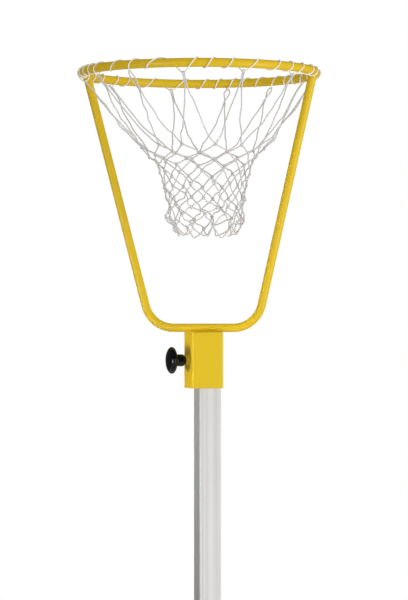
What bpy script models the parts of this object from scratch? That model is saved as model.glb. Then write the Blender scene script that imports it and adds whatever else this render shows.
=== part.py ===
"""Basketball stand: a netted hoop on a bent-tube yoke, clamped to a square post on a floor base.

Metres, +Z up, origin on the floor under the middle of the base plate. The post, its sleeves and
the base lie square to X and Y. The yoke is welded on its collar at an angle to them. Each clamp
screw is modelled along its own +Z, which points out of the sleeve face that it is screwed into.
"""

import math

import bmesh
import bpy
import numpy as np
from mathutils import Matrix, Vector

# Clearances
GAP = 0.0003                    # between surfaces that touch, or are welded, on the real stand
BORE_CLEARANCE = 0.0003         # radial, round a stud in its nut or its moulding
SCREW_HOLE_CLEARANCE = 0.0008   # radial, round a stud in the sheet it passes through

# Hoop: a round steel bar rolled to a ring
HOOP_INNER_DIAMETER = 0.450
HOOP_BAR_DIAMETER = 0.018
HOOP_SEGMENTS = 72
HOOP_BAR_SIDES = 14

# Yoke: one steel tube, bent twice
YOKE_TUBE_DIAMETER = 0.017
YOKE_TUBE_WALL = 0.0015
YOKE_DROP = 0.5115              # from the hoop's centreline down to the bar's
YOKE_FOOT_WIDTH = 0.218         # between the arms' centrelines, carried on down to the bar
YOKE_BEND_RADIUS = 0.060
YOKE_BEND_STEPS = 8
YOKE_TURN = math.radians(-29.0)  # of the right arm, seen from above, away from +X
HOOP_ASIDE = 0.0092             # how far the hoop stands to the left of its bar, as bent

# Sleeves: the collar under the yoke and the socket on the base share one square section
SLEEVE_SIDE = 0.065
SLEEVE_WALL = 0.002
SLEEVE_CORNER = 0.0045
COLLAR_LENGTH = 0.109
COLLAR_SCREW_DROP = 0.053       # from the sleeve's top end down to the screw's axis
CAP_THICKNESS = 0.003
SOCKET_LENGTH = 0.160
SOCKET_SCREW_DROP = 0.040

# Post: a square aluminium extrusion with a plastic plug in each end
POST_SIDE = 0.0445
POST_WALL = 0.0025
POST_CORNER = 0.0015
POST_LENGTH = 1.550
LEAST_CORNER = 0.0004           # inside a square tube whose wall is thicker than its corner
PLUG_FLANGE = 0.004
PLUG_SKIRT = 0.022
PLUG_SKIRT_WALL = 0.003

# Clamp screw: a knob on a threaded stud, in a nut welded to the sleeve, with a pressure pad
STUD_DIAMETER = 0.010
STUD_TIP_DIAMETER = 0.0076
STUD_TIP_LENGTH = 0.003
STUD_CHAMFER = 0.0008
STUD_GRIP = 0.018               # length held inside the knob
NUT_ACROSS_FLATS = 0.017
NUT_HEIGHT = 0.005
NUT_FACE_SHARE = 0.97           # of the distance to a flat, left square to the axis
NUT_CHAMFER_ANGLE = math.radians(30)
KNOB_STANDOFF = 0.0008          # from the nut to the knob's hub, screw tight
KNOB_HUB_DIAMETER = 0.0242
KNOB_HUB_LENGTH = 0.0195
KNOB_NOSE_DIAMETER = 0.0150     # at the hub's end
KNOB_NOSE_LENGTH = 0.0050
KNOB_HEAD_DIAMETER = 0.0540
KNOB_UNDERSIDE_HEIGHT = 0.0085  # from the hub's top to the head's rim
KNOB_DOME_HEIGHT = 0.0110       # from the rim to the crown
KNOB_LOBES = 8
KNOB_FLUTE_RADIUS = 0.0095
KNOB_FLUTE_DEPTH = 0.0021
PAD_DIAMETER = 0.0160
PAD_HEIGHT = 0.0050
PAD_CHAMFER = 0.0006

# Net: twelve long loops under the hoop, then rows of diamond mesh
NET_CORD = 0.003
NET_COLUMNS = 12
NET_PHASE = math.radians(11.0)  # of the first top loop, seen from above, from +X
NET_LEG_DROP = 0.143            # from the hoop's centreline to the first row of knots
NET_MOUTH_RADIUS = 0.122        # at the first row of knots
NET_WAIST_RADIUS = 0.076
NET_TAPER = 0.047               # depth in which the net draws in towards its waist by a factor e
NET_ROW_PITCH = 0.0195
NET_ROWS = 10                   # the last one is the row of loose loops
NET_LEG_SAG = 0.006
NET_LEAN = 0.034                # how far the net hangs to one side, per unit of depth
NET_LEAN_TURN = math.radians(-16.0)  # the side that it hangs to, seen from above, from +X
LOOP_WIDTH = 0.0136
LOOP_DEPTH = 0.0080             # from its top to where its legs start
LOOP_SHOULDER_WIDTH = 0.0110
LOOP_SHOULDER_DEPTH = 0.0016
LOOP_TOP_ALLOWANCE = 1.08       # how much wider a mitred rib is at the loop's top

# Lacing: one cord wound round the hoop, let down a little at each top loop to carry it
LACING_CORD = 0.003
LACING_TURNS = 24
LACING_POINTS_PER_TURN = 16
LACING_DIP = 0.004              # how much further it is let down than the top loop needs
LACING_DIP_FLAT = math.radians(15.0)  # round the bar, each way, straight under the top loop
LACING_DIP_SPAN = math.radians(80.0)  # where it is back on the bar

# Base: a steel plate on four rubber feet, with a socket and four ribs
BASE_SIDE = 0.600
BASE_CORNER = 0.045
BASE_THICKNESS = 0.008
RIB_HEIGHT = 0.080
RIB_LENGTH = 0.110
RIB_THICKNESS = 0.006
RIB_TOE = 0.012
RIB_NOTCH = 0.010               # cut off the inner corner, clear of the socket's weld
FOOT_INSET = 0.060
FOOT_DIAMETER = 0.050
FOOT_TOP_DIAMETER = 0.044
FOOT_HEIGHT = 0.012
FOOT_SIDE_HEIGHT = 0.004        # up to where the foot starts to draw in
FOOT_EDGE = 0.0015
FOOT_STUD_DIAMETER = 0.008
FOOT_STUD_HEAD = 0.018
FOOT_STUD_HEAD_HEIGHT = 0.003
FOOT_STUD_HEAD_LEVEL = 0.004    # of the head's underside above the floor
FOOT_STUD_CHAMFER = 0.001
FOOT_STUD_END = 0.002           # left standing above the nut
FOOT_NUT_ACROSS_FLATS = 0.013
FOOT_NUT_HEIGHT = 0.0065
FOOT_NUT_FLANGE = 0.018
FOOT_NUT_FLANGE_HEIGHT = 0.0015

# Facets
CORNER_STEPS = 3
KNOB_PROFILE_STEPS = 5
TURN_STEPS = 32
SMALL_TURN_STEPS = 20
CUT_MARGIN = 0.002              # how far a cutter runs past what it cuts

# Finishes: colour, roughness, metallic
YELLOW_PAINT = ((0.80, 0.51, 0.03), 0.35, 0.0)
BARE_ALUMINIUM = ((0.72, 0.71, 0.69), 0.38, 1.0)
BLACK_PLASTIC = ((0.012, 0.012, 0.013), 0.25, 0.0)
ZINC_STEEL = ((0.62, 0.63, 0.65), 0.30, 1.0)
WHITE_NYLON = ((0.80, 0.79, 0.76), 0.50, 0.0)
NET_WHITE = ((0.70, 0.69, 0.66), 0.85, 0.0)
BLACK_RUBBER = ((0.02, 0.02, 0.02), 0.80, 0.0)

# Places that follow from the sizes
hoop_radius = (HOOP_INNER_DIAMETER + HOOP_BAR_DIAMETER) / 2
sleeve_bore = SLEEVE_SIDE - 2 * SLEEVE_WALL
post_x = (sleeve_bore - POST_SIDE) / 2 - GAP
plate_level = FOOT_HEIGHT + GAP
plate_top = plate_level + BASE_THICKNESS
socket_level = plate_top + GAP
post_level = plate_top + GAP + PLUG_FLANGE + GAP
post_top = post_level + POST_LENGTH
collar_top = post_top + GAP + PLUG_FLANGE + GAP
collar_level = collar_top - COLLAR_LENGTH
cap_level = collar_top + GAP
bar_level = cap_level + CAP_THICKNESS + GAP + YOKE_TUBE_DIAMETER / 2
hoop_level = bar_level + YOKE_DROP
post_face = post_x - POST_SIDE / 2 + SLEEVE_SIDE / 2  # inwards from the sleeve's left face


def collection_named(name):
    collection = bpy.data.collections.new(name)
    bpy.context.scene.collection.children.link(collection)
    return collection


def empty_at(name, location, parent=None, rotation=(0.0, 0.0, 0.0)):
    """An axis that other pieces hang from."""
    empty = bpy.data.objects.new(name, None)
    empty.empty_display_size = 0.05
    empty.location = location
    empty.rotation_euler = rotation
    empty.parent = parent
    stand.objects.link(empty)
    return empty


def finish_of(name, finish):
    """A painted, moulded or bare surface for one piece."""
    colour, roughness, metallic = finish
    material = bpy.data.materials.new(f"{name} finish")
    material.use_nodes = True
    shader = material.node_tree.nodes["Principled BSDF"]
    shader.inputs["Base Color"].default_value = (*colour, 1.0)
    shader.inputs["Roughness"].default_value = roughness
    shader.inputs["Metallic"].default_value = metallic
    material.diffuse_color = (*colour, 1.0)
    return material


def add_piece(name, mesh, parent, finish, location=(0.0, 0.0, 0.0), rotation=(0.0, 0.0, 0.0)):
    """A visible piece of the stand, placed under its parent."""
    piece = bpy.data.objects.new(name, mesh)
    mesh.materials.clear()
    mesh.materials.append(finish_of(name, finish))
    mesh.shade_smooth()
    mesh.set_sharp_from_angle(angle=math.radians(35))
    piece.location = location
    piece.rotation_euler = rotation
    piece.parent = parent
    stand.objects.link(piece)
    return piece


def add_cutter(name, mesh, parent, location=(0.0, 0.0, 0.0), rotation=(0.0, 0.0, 0.0)):
    """A tool body that cuts or joins a piece and isn't part of the stand."""
    cutter = bpy.data.objects.new(name, mesh)
    cutter.location = location
    cutter.rotation_euler = rotation
    cutter.parent = parent
    cutter.hide_render = True
    cutter.display_type = "WIRE"
    cutters.objects.link(cutter)
    return cutter


def combine(piece, tool, operation):
    modifier = piece.modifiers.new(f"{operation.lower()} {tool.name}", "BOOLEAN")
    modifier.operation = operation
    modifier.object = tool
    modifier.solver = "EXACT"


def cut(piece, tool):
    combine(piece, tool, "DIFFERENCE")


def arc(centre, radius, start, end, steps):
    """Points on a flat arc, both ends included."""
    angles = [start + (end - start) * step / steps for step in range(steps + 1)]
    return [(centre[0] + radius * math.cos(a), centre[1] + radius * math.sin(a)) for a in angles]


def rounded_square(side, corner):
    """The outline of a square with round corners, about the origin."""
    reach = side / 2 - corner
    points = []
    for quarter, (x, y) in enumerate(((1, 1), (-1, 1), (-1, -1), (1, -1))):
        start = quarter * math.pi / 2
        points += arc((x * reach, y * reach), corner, start, start + math.pi / 2, CORNER_STEPS)
    return points


def circle(centre, diameter, steps=SMALL_TURN_STEPS):
    return arc(centre, diameter / 2, 0.0, 2 * math.pi, steps)[:-1]


def mesh_from_curve(curve):
    """The curve's surface as a mesh whose caps are welded to its sides."""
    holder = bpy.data.objects.new(curve.name, curve)
    bpy.context.scene.collection.objects.link(holder)
    graph = bpy.context.evaluated_depsgraph_get()
    mesh = bpy.data.meshes.new_from_object(holder.evaluated_get(graph))
    bpy.data.objects.remove(holder, do_unlink=True)
    bpy.data.curves.remove(curve)
    surface = bmesh.new()
    surface.from_mesh(mesh)
    bmesh.ops.remove_doubles(surface, verts=surface.verts, dist=1e-6)
    bmesh.ops.recalc_face_normals(surface, faces=surface.faces)
    surface.to_mesh(mesh)
    surface.free()
    return mesh


def plate_mesh(name, outlines, thickness):
    """A flat plate that rises from z = 0: the first outline is its edge, the others are holes."""
    curve = bpy.data.curves.new(name, "CURVE")
    curve.dimensions = "2D"
    curve.fill_mode = "BOTH"
    curve.extrude = thickness / 2
    for outline in outlines:
        spline = curve.splines.new("POLY")
        spline.points.add(len(outline) - 1)
        for point, (x, y) in zip(spline.points, outline):
            point.co = (x, y, 0.0, 1.0)
        spline.use_cyclic_u = True
    mesh = mesh_from_curve(curve)
    mesh.transform(Matrix.Translation((0.0, 0.0, thickness / 2)))
    return mesh


def square_tube_mesh(name, side, wall, corner, length):
    """A square hollow section that rises from z = 0, both ends open."""
    inner = rounded_square(side - 2 * wall, max(corner - wall, LEAST_CORNER))
    return plate_mesh(name, [rounded_square(side, corner), inner], length)


def tube_mesh(name, route, radius, resolution):
    """A round bar along a route of points, with flat ends."""
    curve = bpy.data.curves.new(name, "CURVE")
    curve.dimensions = "3D"
    curve.bevel_depth = radius
    curve.bevel_resolution = resolution
    curve.use_fill_caps = True
    spline = curve.splines.new("POLY")
    spline.points.add(len(route) - 1)
    for point, place in zip(spline.points, route):
        point.co = (*place, 1.0)
    return mesh_from_curve(curve)


def profile_mesh(name, profile):
    """A line of (radius, height) points, listed down the outer side, for turning about Z."""
    outline = bmesh.new()
    corners = [outline.verts.new((radius, 0.0, height)) for radius, height in profile]
    for upper, lower in zip(corners, corners[1:]):
        outline.edges.new((upper, lower))
    mesh = bpy.data.meshes.new(name)
    outline.to_mesh(mesh)
    outline.free()
    return mesh


def turn(piece, steps):
    """Turns the piece's profile about its Z axis."""
    screw = piece.modifiers.new("turned", "SCREW")
    screw.steps = steps
    screw.render_steps = steps
    screw.use_merge_vertices = True
    screw.merge_threshold = 1e-5
    screw.use_smooth_shade = True
    return piece


def turned_piece(name, profile, parent, finish, steps=TURN_STEPS, **place):
    return turn(add_piece(name, profile_mesh(name, profile), parent, finish, **place), steps)


def drill(name, diameter, low, high, parent, **place):
    """A round cutter along its parent's Z axis, from one height to another."""
    profile = [(0.0, high), (diameter / 2, high), (diameter / 2, low), (0.0, low)]
    return turn(add_cutter(name, profile_mesh(name, profile), parent, **place), SMALL_TURN_STEPS)


def chamfered_hexagon(name, across_flats, low, high, parent, finish):
    """A nut's hexagon between two heights, its upper corners turned off."""
    corner = across_flats / 2 / math.cos(math.pi / 6)
    outline = arc((0.0, 0.0), corner, 0.0, 2 * math.pi, 6)[:-1]
    mesh = plate_mesh(name, [outline], high - low)
    mesh.transform(Matrix.Translation((0.0, 0.0, low)))
    nut = add_piece(name, mesh, parent, finish)
    flat = across_flats / 2 * NUT_FACE_SHARE
    fall = (corner + CUT_MARGIN - flat) * math.tan(NUT_CHAMFER_ANGLE)
    profile = [
        (0.0, high + CUT_MARGIN), (flat, high + CUT_MARGIN), (flat, high),
        (corner + CUT_MARGIN, high - fall), (corner + CUT_MARGIN, low - CUT_MARGIN),
        (0.0, low - CUT_MARGIN),
    ]
    turning = add_cutter(f"{name} turning", profile_mesh(f"{name} turning", profile), parent)
    combine(nut, turn(turning, SMALL_TURN_STEPS), "INTERSECT")
    return nut


def hoop_section(angle, section_angle, radius):
    """A point round the hoop's bar: section_angle 0 is where the net's top loops pull."""
    lean = section_angle + loop_lean
    outward = hoop_radius - radius * math.sin(lean)
    return Vector((outward * math.cos(angle), outward * math.sin(angle), -radius * math.cos(lean)))


def build_hoop(head):
    bpy.ops.mesh.primitive_torus_add(
        major_radius=hoop_radius, minor_radius=HOOP_BAR_DIAMETER / 2,
        major_segments=HOOP_SEGMENTS, minor_segments=HOOP_BAR_SIDES,
    )
    ring = bpy.context.object
    mesh = ring.data
    mesh.name = "hoop"
    bpy.data.objects.remove(ring, do_unlink=True)
    add_piece("hoop", mesh, head, YELLOW_PAINT)


def yoke_route(overrun):
    """The tube's centreline, from inside the hoop's bar on the left round to the right."""
    halves = []
    for way in (-1, 1):
        half = YOKE_FOOT_WIDTH / 2 + way * HOOP_ASIDE
        lean = math.atan2(hoop_radius - half, YOKE_DROP)
        tangent = YOKE_BEND_RADIUS * math.tan((math.pi / 2 - lean) / 2)
        bend = arc(
            (half - tangent, -YOKE_DROP + YOKE_BEND_RADIUS), YOKE_BEND_RADIUS,
            -math.pi / 2, -lean, YOKE_BEND_STEPS,
        )
        end = (hoop_radius + overrun * math.sin(lean), overrun * math.cos(lean))
        halves.append([(way * x, 0.0, z) for x, z in [*bend, end]])
    left, right = halves
    return [*reversed(left), *right]


def build_yoke(head):
    """The bent tube, coped at both ends to sit under the hoop."""
    plane = empty_at("yoke_plane", (0.0, 0.0, 0.0), head, (0.0, 0.0, YOKE_TURN))
    outer = YOKE_TUBE_DIAMETER / 2
    yoke = add_piece("yoke", tube_mesh("yoke", yoke_route(0.0), outer, 6), plane, YELLOW_PAINT)
    bpy.ops.mesh.primitive_torus_add(
        major_radius=hoop_radius, minor_radius=HOOP_BAR_DIAMETER / 2 + GAP,
        major_segments=HOOP_SEGMENTS, minor_segments=HOOP_BAR_SIDES,
    )
    ring = bpy.context.object
    cope = add_cutter("hoop cope", ring.data, head)
    bpy.data.objects.remove(ring, do_unlink=True)
    cut(yoke, cope)
    bore = tube_mesh("yoke bore", yoke_route(CUT_MARGIN), outer - YOKE_TUBE_WALL, 4)
    cut(yoke, add_cutter("yoke bore", bore, plane))


def net_radius(depth):
    """How far the net stands from its axis at a depth below the hoop's centreline."""
    drawn_in = math.exp(-(depth - NET_LEG_DROP) / NET_TAPER)
    return NET_WAIST_RADIUS + (NET_MOUTH_RADIUS - NET_WAIST_RADIUS) * drawn_in


def net_knots():
    """Rows of places, from the first row of knots down to the row of loose loops."""
    pitch = 2 * math.pi / NET_COLUMNS
    lean = NET_LEAN * Vector((math.cos(NET_LEAN_TURN), math.sin(NET_LEAN_TURN), 0.0))
    rows = []
    for row in range(NET_ROWS):
        depth = NET_LEG_DROP + row * NET_ROW_PITCH
        radius = net_radius(depth)
        centre = depth * lean - Vector((0.0, 0.0, depth))
        first = NET_PHASE + pitch * (row + 1) / 2
        angles = [first + pitch * column for column in range(NET_COLUMNS)]
        rows.append([
            centre + radius * Vector((math.cos(angle), math.sin(angle), 0.0)) for angle in angles
        ])
    return rows


def top_loop(column, left_knot, right_knot):
    """One long loop from its left knot, up under the hoop's bar and down to its right knot."""
    angle = NET_PHASE + 2 * math.pi / NET_COLUMNS * column
    along = Vector((-math.sin(angle), math.cos(angle), 0.0))
    top = hoop_section(angle, 0.0, loop_radius)
    shoulder = hoop_section(angle, 0.0, loop_radius + LOOP_SHOULDER_DEPTH)
    side = hoop_section(angle, 0.0, loop_radius + LOOP_DEPTH)
    sag = Vector((0.0, 0.0, -NET_LEG_SAG))
    halves = []
    for way, knot in ((-0.5, left_knot), (0.5, right_knot)):
        start = side + way * LOOP_WIDTH * along
        middle = (start + knot) / 2 + sag
        halves.append([shoulder + way * LOOP_SHOULDER_WIDTH * along, start, middle])
    return [*reversed(halves[0]), top, *halves[1]]


def straddle_rim(sheet, width):
    """Adds a strip outside the sheet's open edges."""
    rim = {corner: corner.co.copy() for corner in sheet.verts if corner.is_boundary}
    bmesh.ops.inset_region(
        sheet, faces=list(sheet.faces), thickness=width, use_boundary=True, use_even_offset=True
    )
    for outer, line in rim.items():
        inner = next(edge.other_vert(outer) for edge in outer.link_edges if not edge.is_boundary)
        outer.co = 2 * line - inner.co
        inner.co = line


def net_mesh():
    """Diamond meshes laid out as faces, then opened up to leave ribs one cord wide."""
    sheet = bmesh.new()
    rows = [[sheet.verts.new(place) for place in row] for row in net_knots()]
    for column in range(NET_COLUMNS):
        left, right = rows[0][column - 1], rows[0][column]
        loop = [sheet.verts.new(place) for place in top_loop(column, left.co, right.co)]
        sheet.faces.new([left, rows[1][column - 1], right, *reversed(loop)])
    for upper, middle, lower in zip(rows, rows[1:], rows[2:]):
        for column in range(NET_COLUMNS):
            sheet.faces.new((upper[column], middle[column - 1], lower[column - 1], middle[column]))
    bmesh.ops.recalc_face_normals(sheet, faces=sheet.faces)
    meshes = list(sheet.faces)
    straddle_rim(sheet, NET_CORD / 2)
    bmesh.ops.inset_individual(sheet, faces=meshes, thickness=NET_CORD / 2, use_even_offset=True)
    bmesh.ops.delete(sheet, geom=meshes, context="FACES")
    mesh = bpy.data.meshes.new("net")
    sheet.to_mesh(mesh)
    sheet.free()
    return mesh


def build_net(head):
    net = add_piece("net", net_mesh(), head, NET_WHITE)
    cord = net.modifiers.new("cord thickness", "SOLIDIFY")
    cord.thickness = NET_CORD
    cord.offset = 0.0
    cord.use_rim = True
    return net


def lacing_route():
    """A winding round the hoop's bar, let down under it wherever a top loop hangs."""
    per_loop = LACING_TURNS // NET_COLUMNS
    half_turn = LACING_POINTS_PER_TURN // 2
    places = []
    for step in range(1 - half_turn, LACING_TURNS * LACING_POINTS_PER_TURN - half_turn - 1):
        turned = (step + 0.5) / LACING_POINTS_PER_TURN
        angle = NET_PHASE + 2 * math.pi * turned / LACING_TURNS
        section = math.remainder(-2 * math.pi * turned, 2 * math.pi)
        lift = (abs(section) - LACING_DIP_FLAT) / (LACING_DIP_SPAN - LACING_DIP_FLAT)
        carries_loop = round(turned) % per_loop == 0
        dip = math.cos(min(max(lift, 0.0), 1.0) * math.pi / 2) ** 2 if carries_loop else 0.0
        radius = winding_radius + dip * (dip_radius - winding_radius)
        places.append(hoop_section(angle, section, radius))
    return places


def least_gap(places, diameter):
    """The least distance between the cord's surface and itself, a turn or more apart."""
    points = np.array([place[:] for place in places])
    apart = LACING_POINTS_PER_TURN // 2
    gaps = [
        np.linalg.norm(points[i + apart:] - point, axis=1).min()
        for i, point in enumerate(points[:-apart])
    ]
    return min(gaps) - diameter


def build_lacing(head):
    route = lacing_route()
    print(f"lacing: least gap to itself {least_gap(route, LACING_CORD) * 1000:.2f} mm")
    mesh = tube_mesh("net_lacing", route, LACING_CORD / 2, 1)
    add_piece("net_lacing", mesh, head, NET_WHITE)


def knob_profile(low):
    """The knob's outer side, from the middle of its domed head down to the hub's end."""
    head_low = low + KNOB_HUB_LENGTH
    rim_level = head_low + KNOB_UNDERSIDE_HEIGHT
    rim = KNOB_HEAD_DIAMETER / 2
    hub = KNOB_HUB_DIAMETER / 2
    quarter = [math.pi / 2 * step / KNOB_PROFILE_STEPS for step in range(KNOB_PROFILE_STEPS + 1)]
    dome = [(rim * math.sin(a), rim_level + KNOB_DOME_HEIGHT * math.cos(a)) for a in quarter]
    under = [
        (hub + (rim - hub) * math.cos(a), rim_level - KNOB_UNDERSIDE_HEIGHT * math.sin(a))
        for a in quarter[1:]
    ]
    nose = [(hub, low + KNOB_NOSE_LENGTH), (KNOB_NOSE_DIAMETER / 2, low), (0.0, low)]
    return [*dome, *under, *nose]


def build_clamp_screw(prefix, sleeve_face):
    """The nut, knob, stud and pad of one clamp screw, screwed tight on the post."""
    stud_radius = STUD_DIAMETER / 2
    bore = STUD_DIAMETER + 2 * BORE_CLEARANCE
    nut_top = GAP + NUT_HEIGHT
    nut = chamfered_hexagon(
        f"{prefix}_nut", NUT_ACROSS_FLATS, GAP, nut_top, sleeve_face, YELLOW_PAINT
    )
    cut(nut, drill(f"{prefix} nut bore", bore, -CUT_MARGIN, nut_top + CUT_MARGIN, sleeve_face))

    knob_low = nut_top + KNOB_STANDOFF
    knob = turned_piece(f"{prefix}_knob", knob_profile(knob_low), sleeve_face, BLACK_PLASTIC)
    flute_x = KNOB_HEAD_DIAMETER / 2 + KNOB_FLUTE_RADIUS - KNOB_FLUTE_DEPTH
    flute_low = knob_low + KNOB_HUB_LENGTH - CUT_MARGIN
    flute_high = flute_low + KNOB_UNDERSIDE_HEIGHT + KNOB_DOME_HEIGHT + 2 * CUT_MARGIN
    for lobe in range(KNOB_LOBES):
        turned = 2 * math.pi * (lobe + 0.5) / KNOB_LOBES
        place = (flute_x * math.cos(turned), flute_x * math.sin(turned), 0.0)
        flute = drill(
            f"{prefix} flute {lobe + 1}", 2 * KNOB_FLUTE_RADIUS, flute_low, flute_high,
            sleeve_face, location=place,
        )
        cut(knob, flute)
    grip_end = knob_low + STUD_GRIP
    cut(knob, drill(f"{prefix} knob bore", bore, knob_low - CUT_MARGIN, grip_end, sleeve_face))

    pad_low = -post_face + GAP
    pad_high = pad_low + PAD_HEIGHT
    recess = STUD_TIP_DIAMETER / 2 + BORE_CLEARANCE
    recess_floor = pad_high - STUD_TIP_LENGTH
    pad_radius = PAD_DIAMETER / 2
    pad_profile = [
        (0.0, recess_floor), (recess, recess_floor), (recess, pad_high),
        (pad_radius - PAD_CHAMFER, pad_high), (pad_radius, pad_high - PAD_CHAMFER),
        (pad_radius, pad_low), (0.0, pad_low),
    ]
    turned_piece(f"{prefix}_pad", pad_profile, sleeve_face, WHITE_NYLON, SMALL_TURN_STEPS)

    shoulder = pad_high + GAP
    tip = STUD_TIP_DIAMETER / 2
    stud_high = grip_end - GAP
    bevelled = stud_radius - STUD_CHAMFER
    stud_profile = [
        (0.0, stud_high), (bevelled, stud_high), (stud_radius, stud_high - STUD_CHAMFER),
        (stud_radius, shoulder + STUD_CHAMFER), (bevelled, shoulder), (tip, shoulder),
        (tip, recess_floor + GAP), (0.0, recess_floor + GAP),
    ]
    turned_piece(f"{prefix}_stud", stud_profile, sleeve_face, ZINC_STEEL, SMALL_TURN_STEPS)


def build_sleeve(name, length, screw_drop, parent):
    """A square sleeve that rises from its parent, with a screw hole in its left face."""
    mesh = square_tube_mesh(name, SLEEVE_SIDE, SLEEVE_WALL, SLEEVE_CORNER, length)
    sleeve = add_piece(name, mesh, parent, YELLOW_PAINT)
    face = empty_at(
        f"{name}_screw_axis", (-SLEEVE_SIDE / 2, 0.0, length - screw_drop),
        parent, (0.0, -math.pi / 2, 0.0),
    )
    hole = STUD_DIAMETER + 2 * SCREW_HOLE_CLEARANCE
    cut(sleeve, drill(f"{name} screw hole", hole, -SLEEVE_WALL - CUT_MARGIN, CUT_MARGIN, face))
    return face


def build_head(post):
    """Everything that lifts off the post: collar, yoke, hoop and net."""
    collar = empty_at("head_lift", (-post_x, 0.0, collar_level - post_level), post)
    face = build_sleeve("collar", COLLAR_LENGTH, COLLAR_SCREW_DROP, collar)
    cap = plate_mesh("collar_cap", [rounded_square(SLEEVE_SIDE, SLEEVE_CORNER)], CAP_THICKNESS)
    add_piece("collar_cap", cap, collar, YELLOW_PAINT, (0.0, 0.0, cap_level - collar_level))
    build_clamp_screw("clamp", face)
    aside = (-HOOP_ASIDE * math.cos(YOKE_TURN), -HOOP_ASIDE * math.sin(YOKE_TURN))
    head = empty_at("hoop_centre", (*aside, hoop_level - collar_level), collar)
    build_hoop(head)
    build_yoke(head)
    build_net(head)
    build_lacing(head)


def build_plug(name, parent, level, up):
    """An end plug: a flange over the tube's end, and an open skirt that fits inside it."""
    skirt_side = POST_SIDE - 2 * POST_WALL - 2 * GAP
    corner = POST_CORNER
    flange = plate_mesh(name, [rounded_square(POST_SIDE, corner)], PLUG_FLANGE)
    plug = add_piece(name, flange, parent, BLACK_PLASTIC, (0.0, 0.0, level))
    skirt = square_tube_mesh(f"{name} skirt", skirt_side, PLUG_SKIRT_WALL, corner, PLUG_SKIRT)
    sunk = PLUG_FLANGE / 2
    bottom = level + PLUG_FLANGE - sunk if up else level - PLUG_SKIRT + sunk
    combine(plug, add_cutter(f"{name} skirt", skirt, parent, (0.0, 0.0, bottom)), "UNION")
    return plug


def build_post(base):
    """The square tube, standing in the socket against its right wall."""
    post = empty_at("post_lift", (post_x, 0.0, post_level), base)
    mesh = square_tube_mesh("post", POST_SIDE, POST_WALL, POST_CORNER, POST_LENGTH)
    add_piece("post", mesh, post, BARE_ALUMINIUM)
    build_plug("post_foot_plug", post, -GAP - PLUG_FLANGE, True)
    build_plug("post_top_plug", post, POST_LENGTH + GAP, False)
    return post


def foot_places():
    reach = BASE_SIDE / 2 - FOOT_INSET
    return [(-reach, -reach), (reach, -reach), (reach, reach), (-reach, reach)]


def build_ribs(base):
    """A rib from each side of the socket down to the plate."""
    inner = SLEEVE_SIDE / 2 + GAP
    outline = [
        (inner + RIB_NOTCH, 0.0), (inner + RIB_LENGTH, 0.0), (inner + RIB_LENGTH, RIB_TOE),
        (inner + RIB_TOE, RIB_HEIGHT), (inner, RIB_HEIGHT), (inner, RIB_NOTCH),
    ]
    for side, quarter in (("right", 0), ("back", 1), ("left", 2), ("front", 3)):
        axis = empty_at(f"rib_{side}", (0.0, 0.0, socket_level), base, (0.0, 0.0, quarter * math.pi / 2))
        mesh = plate_mesh(f"gusset_{side}", [outline], RIB_THICKNESS)
        upright = (math.pi / 2, 0.0, 0.0)
        add_piece(f"gusset_{side}", mesh, axis, YELLOW_PAINT, (0.0, RIB_THICKNESS / 2, 0.0), upright)


def build_feet(base):
    """Rubber feet, each with a stud moulded in that a flange nut pulls up to the plate."""
    shank = FOOT_STUD_DIAMETER / 2
    head = FOOT_STUD_HEAD / 2
    head_top = FOOT_STUD_HEAD_LEVEL + FOOT_STUD_HEAD_HEIGHT
    side = FOOT_DIAMETER / 2
    pocket = head + GAP
    neck = shank + BORE_CLEARANCE
    foot_profile = [
        (0.0, FOOT_STUD_HEAD_LEVEL - GAP), (pocket, FOOT_STUD_HEAD_LEVEL - GAP),
        (pocket, head_top + GAP), (neck, head_top + GAP), (neck, FOOT_HEIGHT),
        (FOOT_TOP_DIAMETER / 2, FOOT_HEIGHT), (side, FOOT_SIDE_HEIGHT),
        (side, FOOT_EDGE), (side - FOOT_EDGE, 0.0), (0.0, 0.0),
    ]
    nut_level = plate_top + GAP
    nut_top = FOOT_NUT_FLANGE_HEIGHT + FOOT_NUT_HEIGHT
    stud_top = nut_level + nut_top + FOOT_STUD_END
    stud_profile = [
        (0.0, stud_top), (shank - FOOT_STUD_CHAMFER, stud_top),
        (shank, stud_top - FOOT_STUD_CHAMFER), (shank, head_top), (head, head_top),
        (head, FOOT_STUD_HEAD_LEVEL), (0.0, FOOT_STUD_HEAD_LEVEL),
    ]
    edge = FOOT_NUT_FLANGE_HEIGHT / 2
    flange_profile = [
        (0.0, FOOT_NUT_FLANGE_HEIGHT), (FOOT_NUT_ACROSS_FLATS / 2, FOOT_NUT_FLANGE_HEIGHT),
        (FOOT_NUT_FLANGE / 2, edge), (FOOT_NUT_FLANGE / 2, 0.0), (0.0, 0.0),
    ]
    bore = FOOT_STUD_DIAMETER + 2 * BORE_CLEARANCE
    for number, (x, y) in enumerate(foot_places(), start=1):
        corner = empty_at(f"foot_axis_{number}", (x, y, 0.0), base)
        turned_piece(f"foot_{number}", foot_profile, corner, BLACK_RUBBER, SMALL_TURN_STEPS)
        turned_piece(f"foot_stud_{number}", stud_profile, corner, ZINC_STEEL, SMALL_TURN_STEPS)
        seat = empty_at(f"foot_nut_seat_{number}", (0.0, 0.0, nut_level), corner)
        name = f"foot_nut_{number}"
        nut = chamfered_hexagon(name, FOOT_NUT_ACROSS_FLATS, edge, nut_top, seat, ZINC_STEEL)
        flange_mesh = profile_mesh(f"{name} flange", flange_profile)
        flange = turn(add_cutter(f"{name} flange", flange_mesh, seat), SMALL_TURN_STEPS)
        combine(nut, flange, "UNION")
        cut(nut, drill(f"{name} bore", bore, -CUT_MARGIN, nut_top + CUT_MARGIN, seat))


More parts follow.
